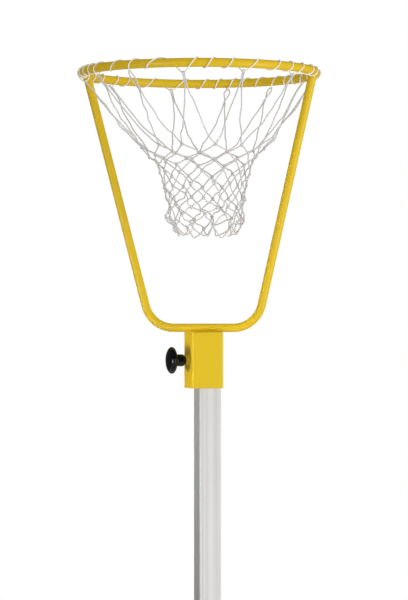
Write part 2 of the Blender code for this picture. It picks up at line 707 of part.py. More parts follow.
def build_base():
    base = empty_at("base", (0.0, 0.0, 0.0))
    hole = FOOT_STUD_DIAMETER + 2 * SCREW_HOLE_CLEARANCE
    outlines = [rounded_square(BASE_SIDE, BASE_CORNER)]
    outlines += [circle(place, hole) for place in foot_places()]
    plate = plate_mesh("base_plate", outlines, BASE_THICKNESS)
    add_piece("base_plate", plate, base, YELLOW_PAINT, (0.0, 0.0, plate_level))
    socket = empty_at("socket", (0.0, 0.0, socket_level), base)
    face = build_sleeve("base_socket", SOCKET_LENGTH, SOCKET_SCREW_DROP, socket)
    build_clamp_screw("base", face)
    build_ribs(base)
    build_feet(base)
    return base


for leftover in list(bpy.data.objects):
    bpy.data.objects.remove(leftover, do_unlink=True)

stand = collection_named("basketball_stand")
cutters = collection_named("cutters")

# The loops pull at the hoop along the line to the first row of knots.
loop_lean = math.atan2(hoop_radius - NET_MOUTH_RADIUS, NET_LEG_DROP)
# Allowances: straight steps of the winding cut inside its circle, and a rib widens at a bend.
step_allowance = 1 / math.cos(math.pi / LACING_POINTS_PER_TURN)
rib = NET_CORD / 2 * LOOP_TOP_ALLOWANCE
loop_radius = HOOP_BAR_DIAMETER / 2 + GAP + rib + LACING_DIP
winding_radius = (HOOP_BAR_DIAMETER / 2 + GAP + LACING_CORD / 2) * step_allowance
dip_radius = (loop_radius + rib + GAP + LACING_CORD / 2) * step_allowance

build_head(build_post(build_base()))

# Flat faces stay flat in the shading where they run into a rounded edge.
for piece in stand.objects:
    if piece.type == "MESH":
        piece.modifiers.new("flat faces", "WEIGHTED_NORMAL").keep_sharp = True
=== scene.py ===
"""The basketball stand, dressed: a laced and netted hoop on a bent yoke, clamped to a square post.

Metres, +Z up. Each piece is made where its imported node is, on the same body, and takes its sizes
from that node wherever it can. The sections follow the stand as it is put together, from the floor.
"""

import math

import bmesh
import bpy
import numpy as np
from mathutils import Matrix, Vector


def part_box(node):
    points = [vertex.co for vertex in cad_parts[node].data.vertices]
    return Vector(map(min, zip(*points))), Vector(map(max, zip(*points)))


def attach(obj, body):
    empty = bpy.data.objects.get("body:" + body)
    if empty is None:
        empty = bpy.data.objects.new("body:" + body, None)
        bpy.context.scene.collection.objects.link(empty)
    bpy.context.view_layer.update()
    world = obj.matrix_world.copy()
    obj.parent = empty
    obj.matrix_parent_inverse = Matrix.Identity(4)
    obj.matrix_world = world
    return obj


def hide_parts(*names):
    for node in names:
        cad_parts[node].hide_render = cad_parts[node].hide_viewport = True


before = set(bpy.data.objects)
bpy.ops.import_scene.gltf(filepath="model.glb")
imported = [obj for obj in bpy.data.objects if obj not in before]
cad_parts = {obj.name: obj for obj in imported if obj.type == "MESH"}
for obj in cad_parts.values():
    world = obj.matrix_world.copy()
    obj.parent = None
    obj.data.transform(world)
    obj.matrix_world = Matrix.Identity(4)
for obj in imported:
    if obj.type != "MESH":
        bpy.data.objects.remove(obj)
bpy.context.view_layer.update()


# Camera. A level camera 5.3 m from the hoop, just above the height of the yoke's bar, with a long
# lens. Its frame is shifted to where the stand hangs in the picture.
hoop_low, hoop_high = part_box("hoop")
hoop_centre = (hoop_low + hoop_high) / 2
camera_distance = 5.3
camera_turn = math.radians(15.5)
camera_below_hoop = 0.4913
picture_height = 600
focal_pixels = 2634

looking = Vector((math.sin(camera_turn), math.cos(camera_turn), 0.0))
beside = Vector((math.cos(camera_turn), -math.sin(camera_turn), 0.0))
lens = bpy.data.cameras.new("picture_camera")
lens.sensor_width = 36.0
lens.lens = lens.sensor_width * focal_pixels / picture_height
lens.shift_x = 4.8 / picture_height
lens.shift_y = 17.8 / picture_height
lens.clip_end = 200.0
camera = bpy.data.objects.new("picture_camera", lens)
bpy.context.scene.collection.objects.link(camera)
aim = looking.to_track_quat("-Z", "Y").to_matrix()
stood = hoop_centre - camera_distance * looking - Vector((0.0, 0.0, camera_below_hoop))
camera.matrix_world = Matrix.Translation(stood) @ aim.to_4x4()
bpy.context.scene.camera = camera


# Studio. A pale floor that fades to white away from the stand, soft light that comes mostly from the
# front right, a low soft box there and a tall narrow one at the left. Two weak boxes with grids look
# at the clamp from the left. The backdrop is white for the camera and in the shiny surfaces.
def hand_for(tree):
    """Returns a function that puts a node in the tree, its inputs set or linked as given."""
    def put(kind, inputs=(), **settings):
        node = tree.nodes.new(kind)
        for setting, value in settings.items():
            setattr(node, setting, value)
        for socket, value in dict(inputs).items():
            if isinstance(value, bpy.types.NodeSocket):
                tree.links.new(value, node.inputs[socket])
            else:
                node.inputs[socket].default_value = value
        return node
    return put


def light_sky(front, back, room, backdrop_spread):
    """Soft light that falls off from front to back. The camera sees white; shiny surfaces see it
    behind the stand, and the dim room elsewhere."""
    sky = bpy.data.worlds.new("studio")
    sky.use_nodes = True
    sky.node_tree.nodes.clear()
    put = hand_for(sky.node_tree)
    bright_side = (-looking + 0.55 * beside - Vector((0.0, 0.0, 0.3))).normalized()
    way = put("ShaderNodeTexCoord").outputs["Generated"]
    facing = put("ShaderNodeVectorMath", {
        0: way, 1: tuple(looking),
    }, operation="DOT_PRODUCT").outputs["Value"]
    behind = put("ShaderNodeMapRange", {
        "Value": facing, "From Min": math.cos(backdrop_spread[1]), "From Max": math.cos(backdrop_spread[0]),
        "To Min": room, "To Max": 1.0,
    }, interpolation_type="SMOOTHSTEP").outputs[0]
    ray = put("ShaderNodeLightPath")
    shiny = put("ShaderNodeMath", {
        0: ray.outputs["Is Glossy Ray"], 1: ray.outputs["Is Transmission Ray"],
    }, operation="MAXIMUM").outputs[0]
    fall = put("ShaderNodeVectorMath", {
        0: way, 1: tuple(bright_side),
    }, operation="DOT_PRODUCT").outputs["Value"]
    soft = put("ShaderNodeMapRange", {
        "Value": fall, "From Min": -1.0, "From Max": 1.0, "To Min": back, "To Max": front,
    }).outputs[0]
    unseen = put("ShaderNodeMapRange", {
        "Value": shiny, "To Min": soft, "To Max": behind,
    }).outputs[0]
    strength = put("ShaderNodeMapRange", {
        "Value": ray.outputs["Is Camera Ray"], "To Min": unseen, "To Max": 1.0,
    })
    dome = put("ShaderNodeBackground", {
        "Color": (1.0, 1.0, 1.0, 1.0), "Strength": strength.outputs[0],
    })
    put("ShaderNodeOutputWorld", {"Surface": dome.outputs[0]})
    bpy.context.scene.world = sky


def hang_lamp(name, place, width, height, power, looks_below_hoop=0.35, spread=180.0,
              mirrored=True, lights=True):
    """A soft box that looks at the stand's head, its spread in degrees narrowed by a grid. One that
    isn't mirrored only fills the shade; one that doesn't light only shows as a gleam."""
    box = bpy.data.lights.new(name, "AREA")
    box.shape = "RECTANGLE"
    box.size = width
    box.size_y = height
    box.energy = power
    box.spread = math.radians(spread)
    lamp = bpy.data.objects.new(name, box)
    lamp.visible_glossy = mirrored
    lamp.visible_diffuse = lights
    bpy.context.scene.collection.objects.link(lamp)
    target = hoop_centre - Vector((0.0, 0.0, looks_below_hoop))
    lamp.matrix_world = Matrix.Translation(place) @ (
        (target - Vector(place)).to_track_quat("-Z", "Y").to_matrix().to_4x4()
    )


def lay_floor(reach, fade_from, fade_to, paleness):
    """A pale disc that keeps the stand's shadow; its far part shows as plain white."""
    disc = bmesh.new()
    bmesh.ops.create_circle(disc, cap_ends=True, radius=reach, segments=96)
    mesh = bpy.data.meshes.new("studio_floor")
    disc.to_mesh(mesh)
    disc.free()
    paper = bpy.data.materials.new("floor_paper")
    paper.use_nodes = True
    paper.node_tree.nodes.clear()
    put = hand_for(paper.node_tree)
    place = put("ShaderNodeTexCoord").outputs["Object"]
    away = put("ShaderNodeVectorMath", {0: place}, operation="LENGTH").outputs["Value"]
    far = put("ShaderNodeMapRange", {
        "Value": away, "From Min": fade_from, "From Max": fade_to, "To Min": paleness, "To Max": 1.0,
    }, interpolation_type="SMOOTHSTEP").outputs[0]
    ray = put("ShaderNodeLightPath")
    white_seen = put("ShaderNodeMath", {0: far, 1: ray.outputs["Is Camera Ray"]}, operation="MULTIPLY")
    grain = put("ShaderNodeTexNoise", {"Vector": place, "Scale": 300.0, "Detail": 3.0})
    tone = put("ShaderNodeMapRange", {"Value": grain.outputs[0], "To Min": 0.90, "To Max": 0.93})
    shade = put("ShaderNodeBsdfPrincipled", {
        "Base Color": tone.outputs[0], "Roughness": 0.9, "Specular IOR Level": 0.1,
    })
    white = put("ShaderNodeEmission", {"Color": (1.0, 1.0, 1.0, 1.0), "Strength": 1.0})
    both = put("ShaderNodeMixShader", {
        0: white_seen.outputs[0], 1: shade.outputs[0], 2: white.outputs[0],
    })
    put("ShaderNodeOutputMaterial", {"Surface": both.outputs[0]})
    mesh.materials.append(paper)
    floor = bpy.data.objects.new("studio_floor", mesh)
    bpy.context.scene.collection.objects.link(floor)


bpy.context.scene.view_settings.view_transform = "Standard"
light_sky(front=0.95, back=0.20, room=0.06, backdrop_spread=(math.radians(4), math.radians(20)))
hang_lamp("key_box", (1.75, -2.05, 1.2), 0.8, 1.5, 24.5)
hang_lamp("strip_box", (-2.13, -1.49, 1.2), 0.10, 1.8, 22.0, lights=False)
for name, power, mirrored in (("grid_box", 0.4, True), ("fill_box", 0.8, False)):
    hang_lamp(name, (-1.95, -0.25, 1.3), 0.6, 0.6, power, 0.58, spread=30.0, mirrored=mirrored)
lay_floor(reach=3.6, fade_from=0.5, fade_to=3.2, paleness=0.4)


# Yellow enamel. All the steel of the stand is sprayed in one baked yellow enamel, with a fine
# orange peel. It is a little thinner and paler along the edges, and scuffed duller on the base.
def shader_group(name, inputs, outputs):
    """An empty shader group with named sockets; returns its hand, its input and its output."""
    tree = bpy.data.node_groups.new(name, "ShaderNodeTree")
    for socket, (kind, value) in inputs.items():
        made = tree.interface.new_socket(name=socket, in_out="INPUT", socket_type=f"NodeSocket{kind}")
        made.default_value = value
    for socket, kind in outputs.items():
        tree.interface.new_socket(name=socket, in_out="OUTPUT", socket_type=f"NodeSocket{kind}")
    return tree, hand_for(tree), tree.nodes.new("NodeGroupInput").outputs


def mottle_group():
    """Slow changes of tone and gloss over a surface, with a few finer marks in them."""
    tree, put, given = shader_group("surface_mottle", {
        "Colour": ("Color", (0.5, 0.5, 0.5, 1.0)), "Roughness": ("Float", 0.4),
        "Cloud Scale": ("Float", 12.0), "Mark Scale": ("Float", 90.0),
        "Tone Change": ("Float", 0.06), "Gloss Change": ("Float", 0.10),
    }, {"Colour": "Color", "Roughness": "Float"})
    place = put("ShaderNodeTexCoord").outputs["Object"]
    cloud = put("ShaderNodeTexNoise", {"Vector": place, "Scale": given["Cloud Scale"], "Detail": 4.0})
    marks = put("ShaderNodeTexNoise", {
        "Vector": place, "Scale": given["Mark Scale"], "Detail": 6.0, "Distortion": 0.8,
    })
    lift = put("ShaderNodeMath", {0: cloud.outputs[0], 1: 0.5}, operation="SUBTRACT").outputs[0]
    change = put("ShaderNodeMath", {0: lift, 1: given["Tone Change"], 2: 1.0}, operation="MULTIPLY_ADD")
    toned = put("ShaderNodeHueSaturation", {"Color": given["Colour"], "Value": change.outputs[0]})
    scuff = put("ShaderNodeMath", {0: marks.outputs[0], 1: 0.5}, operation="SUBTRACT").outputs[0]
    gloss = put("ShaderNodeMath", {
        0: scuff, 1: given["Gloss Change"], 2: given["Roughness"],
    }, operation="MULTIPLY_ADD")
    put("NodeGroupOutput", {"Colour": toned.outputs[0], "Roughness": gloss.outputs[0]})
    return tree


def edge_wear_group():
    """A finish that goes thin along outer edges, broken up by a fine noise."""
    tree, put, given = shader_group("edge_wear", {
        "Colour": ("Color", (0.5, 0.5, 0.5, 1.0)), "Worn Colour": ("Color", (0.8, 0.8, 0.8, 1.0)),
        "Wear": ("Float", 0.5), "Break Up": ("Float", 160.0),
    }, {"Colour": "Color"})
    place = put("ShaderNodeTexCoord").outputs["Object"]
    bend = put("ShaderNodeNewGeometry").outputs["Pointiness"]
    edge = put("ShaderNodeMapRange", {
        "Value": bend, "From Min": 0.53, "From Max": 0.62,
    }, interpolation_type="SMOOTHSTEP").outputs[0]
    broken = put("ShaderNodeTexNoise", {"Vector": place, "Scale": given["Break Up"], "Detail": 5.0})
    patches = put("ShaderNodeMapRange", {
        "Value": broken.outputs[0], "From Min": 0.35, "From Max": 0.65,
    }).outputs[0]
    both = put("ShaderNodeMath", {0: edge, 1: patches}, operation="MULTIPLY").outputs[0]
    worn = put("ShaderNodeMath", {0: both, 1: given["Wear"]}, operation="MULTIPLY", use_clamp=True)
    mixed = put("ShaderNodeMix", {
        0: worn.outputs[0], 6: given["Colour"], 7: given["Worn Colour"],
    }, data_type="RGBA")
    put("NodeGroupOutput", {"Colour": mixed.outputs[2]})
    return tree


def grain_group():
    """The relief of a skin: noise on Object coordinates, stretched as given."""
    tree, put, given = shader_group("skin_relief", {
        "Stretch": ("Vector", (400.0, 400.0, 400.0)), "Depth": ("Float", 0.0001),
        "Detail": ("Float", 2.0),
    }, {"Relief": "Float", "Normal": "Vector"})
    place = put("ShaderNodeTexCoord").outputs["Object"]
    drawn = put("ShaderNodeVectorMath", {0: place, 1: given["Stretch"]}, operation="MULTIPLY")
    noise = put("ShaderNodeTexNoise", {
        "Vector": drawn.outputs[0], "Scale": 1.0, "Detail": given["Detail"],
    }).outputs[0]
    bump = put("ShaderNodeBump", {"Height": noise, "Distance": given["Depth"], "Strength": 1.0})
    put("NodeGroupOutput", {"Relief": noise, "Normal": bump.outputs[0]})
    return tree


mottle = mottle_group()
edge_wear = edge_wear_group()
relief = grain_group()


def finish(name, **fixed):
    """A Principled material; returns it with its hand and its shader."""
    material = bpy.data.materials.new(name)
    material.use_nodes = True
    shader = material.node_tree.nodes["Principled BSDF"]
    for socket, value in fixed.items():
        shader.inputs[socket.replace("_", " ")].default_value = value
    return material, hand_for(material.node_tree), shader


def wire(material, shader, **sources):
    for socket, source in sources.items():
        material.node_tree.links.new(source, shader.inputs[socket.replace("_", " ")])


def yellow_enamel(name, peel_size, peel_depth, wear, roughness):
    material, put, shader = finish(name, IOR=1.46, Specular_IOR_Level=0.30)
    tone = put("ShaderNodeGroup", {
        "Colour": (0.78, 0.528, 0.011, 1.0), "Roughness": roughness, "Cloud Scale": 9.0,
        "Mark Scale": 70.0, "Tone Change": 0.06, "Gloss Change": 0.05,
    }, node_tree=mottle)
    worn = put("ShaderNodeGroup", {
        "Colour": tone.outputs["Colour"], "Worn Colour": (0.86, 0.62, 0.09, 1.0),
        "Wear": wear, "Break Up": 140.0,
    }, node_tree=edge_wear)
    skin = put("ShaderNodeGroup", {
        "Stretch": (peel_size, peel_size, peel_size), "Depth": peel_depth, "Detail": 2.0,
    }, node_tree=relief)
    wire(material, shader, Base_Color=worn.outputs["Colour"], Roughness=tone.outputs["Roughness"],
         Normal=skin.outputs["Normal"])
    return material


enamel = yellow_enamel("yellow_enamel", 420.0, 0.000018, 0.5, 0.30)
weld_enamel = yellow_enamel("yellow_enamel_on_welds", 900.0, 0.00015, 0.2, 0.31)
base_enamel = yellow_enamel("yellow_enamel_on_base", 420.0, 0.00004, 0.5, 0.42)


# Base plate. An 8 mm steel plate with wide round corners, its edges broken by a file before it
# is sprayed. It carries the socket, the ribs and the four feet.
def fit(name, mesh, body, slot, *stands_for):
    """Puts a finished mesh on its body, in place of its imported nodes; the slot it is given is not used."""
    piece = bpy.data.objects.new(name, mesh)
    bpy.context.scene.collection.objects.link(piece)
    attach(piece, body)
    if stands_for:
        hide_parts(*stands_for)


def skin_over(name, rings, material, closed=False, crease=35.0):
    """Faces between rings of equal count; closed joins the last ring to the first, else caps."""
    rings = np.asarray(rings, float)
    count, around = rings.shape[:2]
    solid = bmesh.new()
    corners = [[solid.verts.new(point) for point in ring] for ring in rings]
    pairs = list(zip(corners, corners[1:])) + ([(corners[-1], corners[0])] if closed else [])
    for lower, upper in pairs:
        for i in range(around):
            j = (i + 1) % around
            solid.faces.new((lower[i], lower[j], upper[j], upper[i]))
    if not closed:
        solid.faces.new(corners[0])
        solid.faces.new(corners[-1])
    bmesh.ops.remove_doubles(solid, verts=solid.verts, dist=1e-6)
    bmesh.ops.recalc_face_normals(solid, faces=solid.faces)
    mesh = bpy.data.meshes.new(name)
    solid.to_mesh(mesh)
    solid.free()
    mesh.materials.append(material)
    mesh.shade_smooth()
    mesh.set_sharp_from_angle(angle=math.radians(crease))
    return mesh


def round_square(side, corner, level, steps=10):
    """A square outline with round corners, at a level, with a few places along each straight."""
    reach = side / 2 - corner
    straight = (-0.96, -0.8, -0.4, 0.0, 0.4, 0.8, 0.96)
    outline = []
    for quarter in range(4):
        square = quarter * math.pi / 2
        turned_to = np.array([[math.cos(square), -math.sin(square)], [math.sin(square), math.cos(square)]])
        arc = [(reach + corner * math.cos(t), reach + corner * math.sin(t))
               for t in np.linspace(0.0, math.pi / 2, steps + 1)]
        edge = [(reach + corner, share * reach) for share in straight]
        outline += [(*(turned_to @ place), level) for place in edge + arc]
    return outline


flat_from_edge = 0.0015     # from a rounded edge to the places that keep the flat beside it flat


def broken_edge(edge, steps=3, run=flat_from_edge):
    """(how far in, how far down) from a little below a rounded edge to a little inside it."""
    turns = [math.pi / 2 * step / steps for step in range(steps + 1)]
    rounded = [(edge * (1 - math.cos(t)), edge * (1 - math.sin(t))) for t in turns]
    return [(0.0, edge + run), *rounded, (edge + run, 0.0)]


def plate(name, side, corner, low, high, edge, material):
    """A square plate with its upper and lower edges broken."""
    broken = broken_edge(edge, run=min(flat_from_edge, 0.45 * (high - low) - edge))
    rings = [round_square(side - 2 * i, corner - i, low + d) for i, d in reversed(broken)]
    rings += [round_square(side - 2 * i, corner - i, high - d) for i, d in broken]
    return skin_over(name, rings, material)


plate_low, plate_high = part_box("base_plate")
plate_top = plate_high.z
plate_mesh = plate(
    "base_plate_dressed", plate_high.x - plate_low.x, 0.045, plate_low.z, plate_top, 0.0009, base_enamel
)
fit("base_plate_dressed", plate_mesh, "base", "yellow_paint", "base_plate")


# Socket. A short piece of square steel tube, stood on the plate and welded all round. The clamp's
# nut covers its screw hole, so its left wall is left whole here.
def square_tube(name, side, wall, corner, low, high, edge, material, centre=(0.0, 0.0)):
    """A square tube whose end edges are broken inside and out."""
    inner_corner = max(corner - wall, 0.0005)
    broken = broken_edge(edge)[:-1]
    between = [low + (high - low) * share for share in (0.2, 0.4, 0.6, 0.8)]
    outside = [(side - 2 * i, max(corner - i, 0.0004), low + d) for i, d in reversed(broken)]
    outside += [(side, corner, z) for z in between]
    outside += [(side - 2 * i, max(corner - i, 0.0004), high - d) for i, d in broken]
    bore = side - 2 * wall
    inside = [(bore + 2 * i, inner_corner + i, high - d) for i, d in reversed(broken)]
    inside += [(bore, inner_corner, z) for z in reversed(between)]
    inside += [(bore + 2 * i, inner_corner + i, low + d) for i, d in broken]
    rings = [round_square(s, c, z) for s, c, z in outside + inside]
    rings = np.asarray(rings) + np.array([*centre, 0.0])
    return skin_over(name, rings, material, closed=True)


sleeve_wall = 0.0020
sleeve_corner = 0.0045


def sleeve(name, node, body, material):
    low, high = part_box(node)
    mesh = square_tube(
        name, high.x - low.x, sleeve_wall, sleeve_corner, low.z, high.z, 0.0006, material
    )
    fit(name, mesh, body, "yellow_paint", node)


socket_low, socket_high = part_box("base_socket")
sleeve("socket_dressed", "base_socket", "base", base_enamel)


# Ribs. Four laser-cut gussets stand round the socket, each with a blunt toe and a cut inner
# corner. They are copies of one rib, turned to the socket's four sides.
def geometry_tree(name, inputs):
    """An empty geometry tree with named inputs; returns its hand and its input's sockets."""
    tree = bpy.data.node_groups.new(name, "GeometryNodeTree")
    tree.interface.new_socket(name="Geometry", in_out="INPUT", socket_type="NodeSocketGeometry")
    for socket, (kind, value) in inputs.items():
        made = tree.interface.new_socket(name=socket, in_out="INPUT", socket_type=f"NodeSocket{kind}")
        if value is not None:
            made.default_value = value
    tree.interface.new_socket(name="Geometry", in_out="OUTPUT", socket_type="NodeSocketGeometry")
    return tree, hand_for(tree), tree.nodes.new("NodeGroupInput").outputs


def worked(name, mesh, tree, **sizes):
    """Runs a geometry tree over a mesh, with its inputs by name, and returns a plain mesh."""
    holder = bpy.data.objects.new(name, mesh)
    bpy.context.scene.collection.objects.link(holder)
    modifier = holder.modifiers.new(tree.name, "NODES")
    modifier.node_group = tree
    for item in tree.interface.items_tree:
        if item.in_out == "INPUT" and item.name.replace(" ", "_") in sizes:
            modifier[item.identifier] = sizes[item.name.replace(" ", "_")]
    graph = bpy.context.evaluated_depsgraph_get()
    made = bpy.data.meshes.new_from_object(holder.evaluated_get(graph))
    made.name = name
    holder.modifiers.remove(modifier)
    bpy.data.objects.remove(holder, do_unlink=True)
    return made


def deliver(put, geometry, material):
    """Ends a geometry tree: what it made becomes plain mesh, with its material."""
    plain = put("GeometryNodeRealizeInstances", {"Geometry": geometry})
    done = put("GeometryNodeSetMaterial", {"Geometry": plain.outputs[0], "Material": material})
    put("NodeGroupOutput", {"Geometry": done.outputs[0]})


def copies_tree():
    """A copy of one piece at each point, its X axis turned to the point's outward direction."""
    tree, put, given = geometry_tree("copies_at_points", {
        "Copy": ("Object", None), "Spin": ("Float", 0.0), "Size Change": ("Float", 0.0),
        "Seed": ("Int", 1), "Finish": ("Material", None),
    })
    outward = put("GeometryNodeInputNamedAttribute", {"Name": "outward"}, data_type="FLOAT_VECTOR")
    facing = put("FunctionNodeAlignRotationToVector", {
        "Vector": outward.outputs[0],
    }, axis="X", pivot_axis="AUTO")
    back = put("ShaderNodeMath", {0: given["Spin"], 1: -1.0}, operation="MULTIPLY")
    spin = put("FunctionNodeRandomValue", {
        2: back.outputs[0], 3: given["Spin"], "Seed": given["Seed"],
    }, data_type="FLOAT")
    turned = put("FunctionNodeAxisAngleToRotation", {"Axis": (1.0, 0.0, 0.0), "Angle": spin.outputs[1]})
    both = put("FunctionNodeRotateRotation", {
        "Rotation": facing.outputs[0], "Rotate By": turned.outputs[0],
    }, rotation_space="LOCAL")
    smallest = put("ShaderNodeMath", {0: 1.0, 1: given["Size Change"]}, operation="SUBTRACT")
    largest = put("ShaderNodeMath", {0: 1.0, 1: given["Size Change"]}, operation="ADD")
    next_seed = put("FunctionNodeIntegerMath", {0: given["Seed"], 1: 1}, operation="ADD")
    size = put("FunctionNodeRandomValue", {
        2: smallest.outputs[0], 3: largest.outputs[0], "Seed": next_seed.outputs[0],
    }, data_type="FLOAT")
    points = put("GeometryNodeMeshToPoints", {"Mesh": given["Geometry"]})
    copy = put("GeometryNodeObjectInfo", {"Object": given["Copy"]}, transform_space="ORIGINAL")
    placed = put("GeometryNodeInstanceOnPoints", {
        "Points": points.outputs[0], "Instance": copy.outputs["Geometry"],
        "Rotation": both.outputs[0], "Scale": size.outputs[1],
    })
    deliver(put, placed.outputs[0], given["Finish"])
    return tree


copies = copies_tree()


def points_facing(name, places, directions):
    """A mesh of loose points, each with the direction that its copy faces."""
    mesh = bpy.data.meshes.new(name)
    mesh.from_pydata([tuple(place) for place in places], [], [])
    outward = mesh.attributes.new("outward", "FLOAT_VECTOR", "POINT")
    outward.data.foreach_set("vector", np.asarray(directions, np.float32).ravel())
    return mesh


def copied(name, pattern, places, directions, material, **choices):
    """One mesh with a copy of the pattern at each place."""
    master = bpy.data.objects.new(f"{name}_pattern", pattern)
    bpy.context.scene.collection.objects.link(master)
    mesh = worked(
        name, points_facing(name, places, directions), copies, Copy=master, Finish=material, **choices
    )
    bpy.data.objects.remove(master, do_unlink=True)
    return mesh


rib_low, rib_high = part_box("gusset_right")
rib_length = rib_high.x - rib_low.x
rib_height = rib_high.z - rib_low.z
rib_thickness = rib_high.y - rib_low.y
rib_toe = 0.012
rib_notch = 0.010


def rib_mesh():
    """One rib, its inner edge on the YZ plane and its foot on the XY plane."""
    outline = [
        (rib_notch, 0.0), (rib_length, 0.0), (rib_length, rib_toe), (rib_toe, rib_height),
        (0.0, rib_height), (0.0, rib_notch),
    ]
    solid = bmesh.new()
    face = solid.faces.new([solid.verts.new((x, -rib_thickness / 2, z)) for x, z in outline])
    grown = bmesh.ops.extrude_face_region(solid, geom=[face])["geom"]
    moved = [item for item in grown if isinstance(item, bmesh.types.BMVert)]
    bmesh.ops.translate(solid, verts=moved, vec=(0.0, rib_thickness, 0.0))
    bmesh.ops.recalc_face_normals(solid, faces=solid.faces)
    bmesh.ops.bevel(solid, geom=list(solid.edges), offset=0.0006, segments=2, affect="EDGES")
    flats = [face for face in solid.faces if face.calc_area() > 0.001 * face.calc_perimeter()]
    bmesh.ops.inset_individual(solid, faces=flats, thickness=flat_from_edge)
    mesh = bpy.data.meshes.new("rib")
    solid.to_mesh(mesh)
    solid.free()
    mesh.materials.append(base_enamel)
    mesh.shade_smooth()
    mesh.set_sharp_from_angle(angle=math.radians(50))
    return mesh


quarters = [Vector((math.cos(t), math.sin(t), 0.0)) for t in np.arange(4) * math.pi / 2]
rib_foot = rib_low.z
ribs = copied(
    "ribs_dressed", rib_mesh(), [rib_low.x * way + Vector((0.0, 0.0, rib_foot)) for way in quarters],
    quarters, base_enamel,
)
rib_names = [f"gusset_{side}" for side in ("right", "back", "left", "front")]
fit("ribs_dressed", ribs, "base", "yellow_paint", *rib_names)


# Base welds. Hand-run fillet welds, painted over: one round the socket's foot, and one down each
# side of each rib, on the plate and on the socket. The ripples of the run still show.
def bead_tree():
    """A weld bead along lines, swelling and thinning with each ripple, tapered at open ends."""
    tree, put, given = geometry_tree("weld_bead", {
        "Bead Radius": ("Float", 0.0025), "Ripple Pitch": ("Float", 0.003),
        "Ripple Depth": ("Float", 0.1), "Sides": ("Int", 10), "Finish": ("Material", None),
    })
    lines = put("GeometryNodeMeshToCurve", {"Mesh": given["Geometry"]})
    step = put("ShaderNodeMath", {0: given["Ripple Pitch"], 1: 5.0}, operation="DIVIDE")
    run = put("GeometryNodeResampleCurve", {
        "Curve": lines.outputs[0], "Length": step.outputs[0],
    }, mode="LENGTH")
    along = put("GeometryNodeSplineParameter")
    beats = put("ShaderNodeMath", {0: along.outputs["Length"], 1: given["Ripple Pitch"]}, operation="DIVIDE")
    sweep = put("ShaderNodeMath", {0: beats.outputs[0], 1: 2 * math.pi}, operation="MULTIPLY")
    wave = put("ShaderNodeMath", {0: sweep.outputs[0]}, operation="SINE")
    swell = put("ShaderNodeMath", {
        0: wave.outputs[0], 1: given["Ripple Depth"], 2: 1.0,
    }, operation="MULTIPLY_ADD")
    whole = put("GeometryNodeSplineLength")
    ahead = put("ShaderNodeMath", {
        0: whole.outputs["Length"], 1: along.outputs["Length"],
    }, operation="SUBTRACT")
    to_end = put("ShaderNodeMath", {0: along.outputs["Length"], 1: ahead.outputs[0]}, operation="MINIMUM")
    run_out = put("ShaderNodeMath", {0: given["Bead Radius"], 1: 1.6}, operation="MULTIPLY")
    rounded = put("ShaderNodeMapRange", {
        "Value": to_end.outputs[0], "From Max": run_out.outputs[0], "To Min": 0.3, "To Max": 1.0,
    }, interpolation_type="SMOOTHSTEP")
    joined = put("GeometryNodeInputSplineCyclic")
    taper = put("GeometryNodeSwitch", {
        "Switch": joined.outputs[0], "False": rounded.outputs[0], "True": 1.0,
    }, input_type="FLOAT")
    girth_along = put("ShaderNodeMath", {0: swell.outputs[0], 1: taper.outputs[0]}, operation="MULTIPLY")
    scaled = put("GeometryNodeSetCurveRadius", {"Curve": run.outputs[0], "Radius": girth_along.outputs[0]})
    girth = put("GeometryNodeInputRadius")
    section = put("GeometryNodeCurvePrimitiveCircle", {
        "Resolution": given["Sides"], "Radius": given["Bead Radius"],
    })
    bead = put("GeometryNodeCurveToMesh", {
        "Curve": scaled.outputs[0], "Profile Curve": section.outputs[0],
        "Scale": girth.outputs[0], "Fill Caps": True,
    })
    smooth = put("GeometryNodeSetShadeSmooth", {"Geometry": bead.outputs[0]})
    deliver(put, smooth.outputs[0], given["Finish"])
    return tree


beads = bead_tree()


def lines_mesh(name, lines):
    """Polylines as a mesh of edges: each is (points, whether it is a closed loop)."""
    places, edges = [], []
    for points, loop in lines:
        first = len(places)
        places += [tuple(point) for point in points]
        edges += [(i, i + 1) for i in range(first, len(places) - 1)]
        if loop:
            edges.append((len(places) - 1, first))
    mesh = bpy.data.meshes.new(name)
    mesh.from_pydata(places, edges, [])
    return mesh


def weld(name, lines, body, radius, pitch=0.0028, depth=0.07):
    mesh = worked(
        name, lines_mesh(name, lines), beads,
        Bead_Radius=radius, Ripple_Pitch=pitch, Ripple_Depth=depth, Finish=weld_enamel,
    )
    fit(name, mesh, body, "yellow_paint")


socket_side = socket_high.x - socket_low.x
base_runs = [(round_square(socket_side + 0.001, sleeve_corner, plate_top + 0.0006), True)]
for way in quarters:
    across = Vector((-way.y, way.x, 0.0))
    for side in (-1, 1):
        seam = across * side * (rib_thickness / 2 + 0.0004)
        foot = [rib_low.x * way + way * s + seam + Vector((0.0, 0.0, plate_top + 0.0006))
                for s in (rib_notch, rib_length - 0.001)]
        back = [way * (rib_low.x + 0.0004) + seam + Vector((0.0, 0.0, rib_foot + z))
                for z in (rib_notch, rib_height - 0.001)]
        base_runs += [(foot, False), (back, False)]
weld("base_welds", base_runs, "base", 0.0028)


# Feet. Turned black rubber buffers under the plate's corners, each with a zinc-plated stud moulded
# in. A flange nut on top of the plate holds each one, with two threads standing clear.
def turned(name, profile, material, steps=48):
    """Turns a line of (radius, height) about Z."""
    angles = np.arange(steps) * 2 * math.pi / steps
    rings = [
        np.stack([r * np.cos(angles), r * np.sin(angles), np.full(steps, z)], axis=1)
        for r, z in profile
    ]
    return skin_over(name, rings, material)


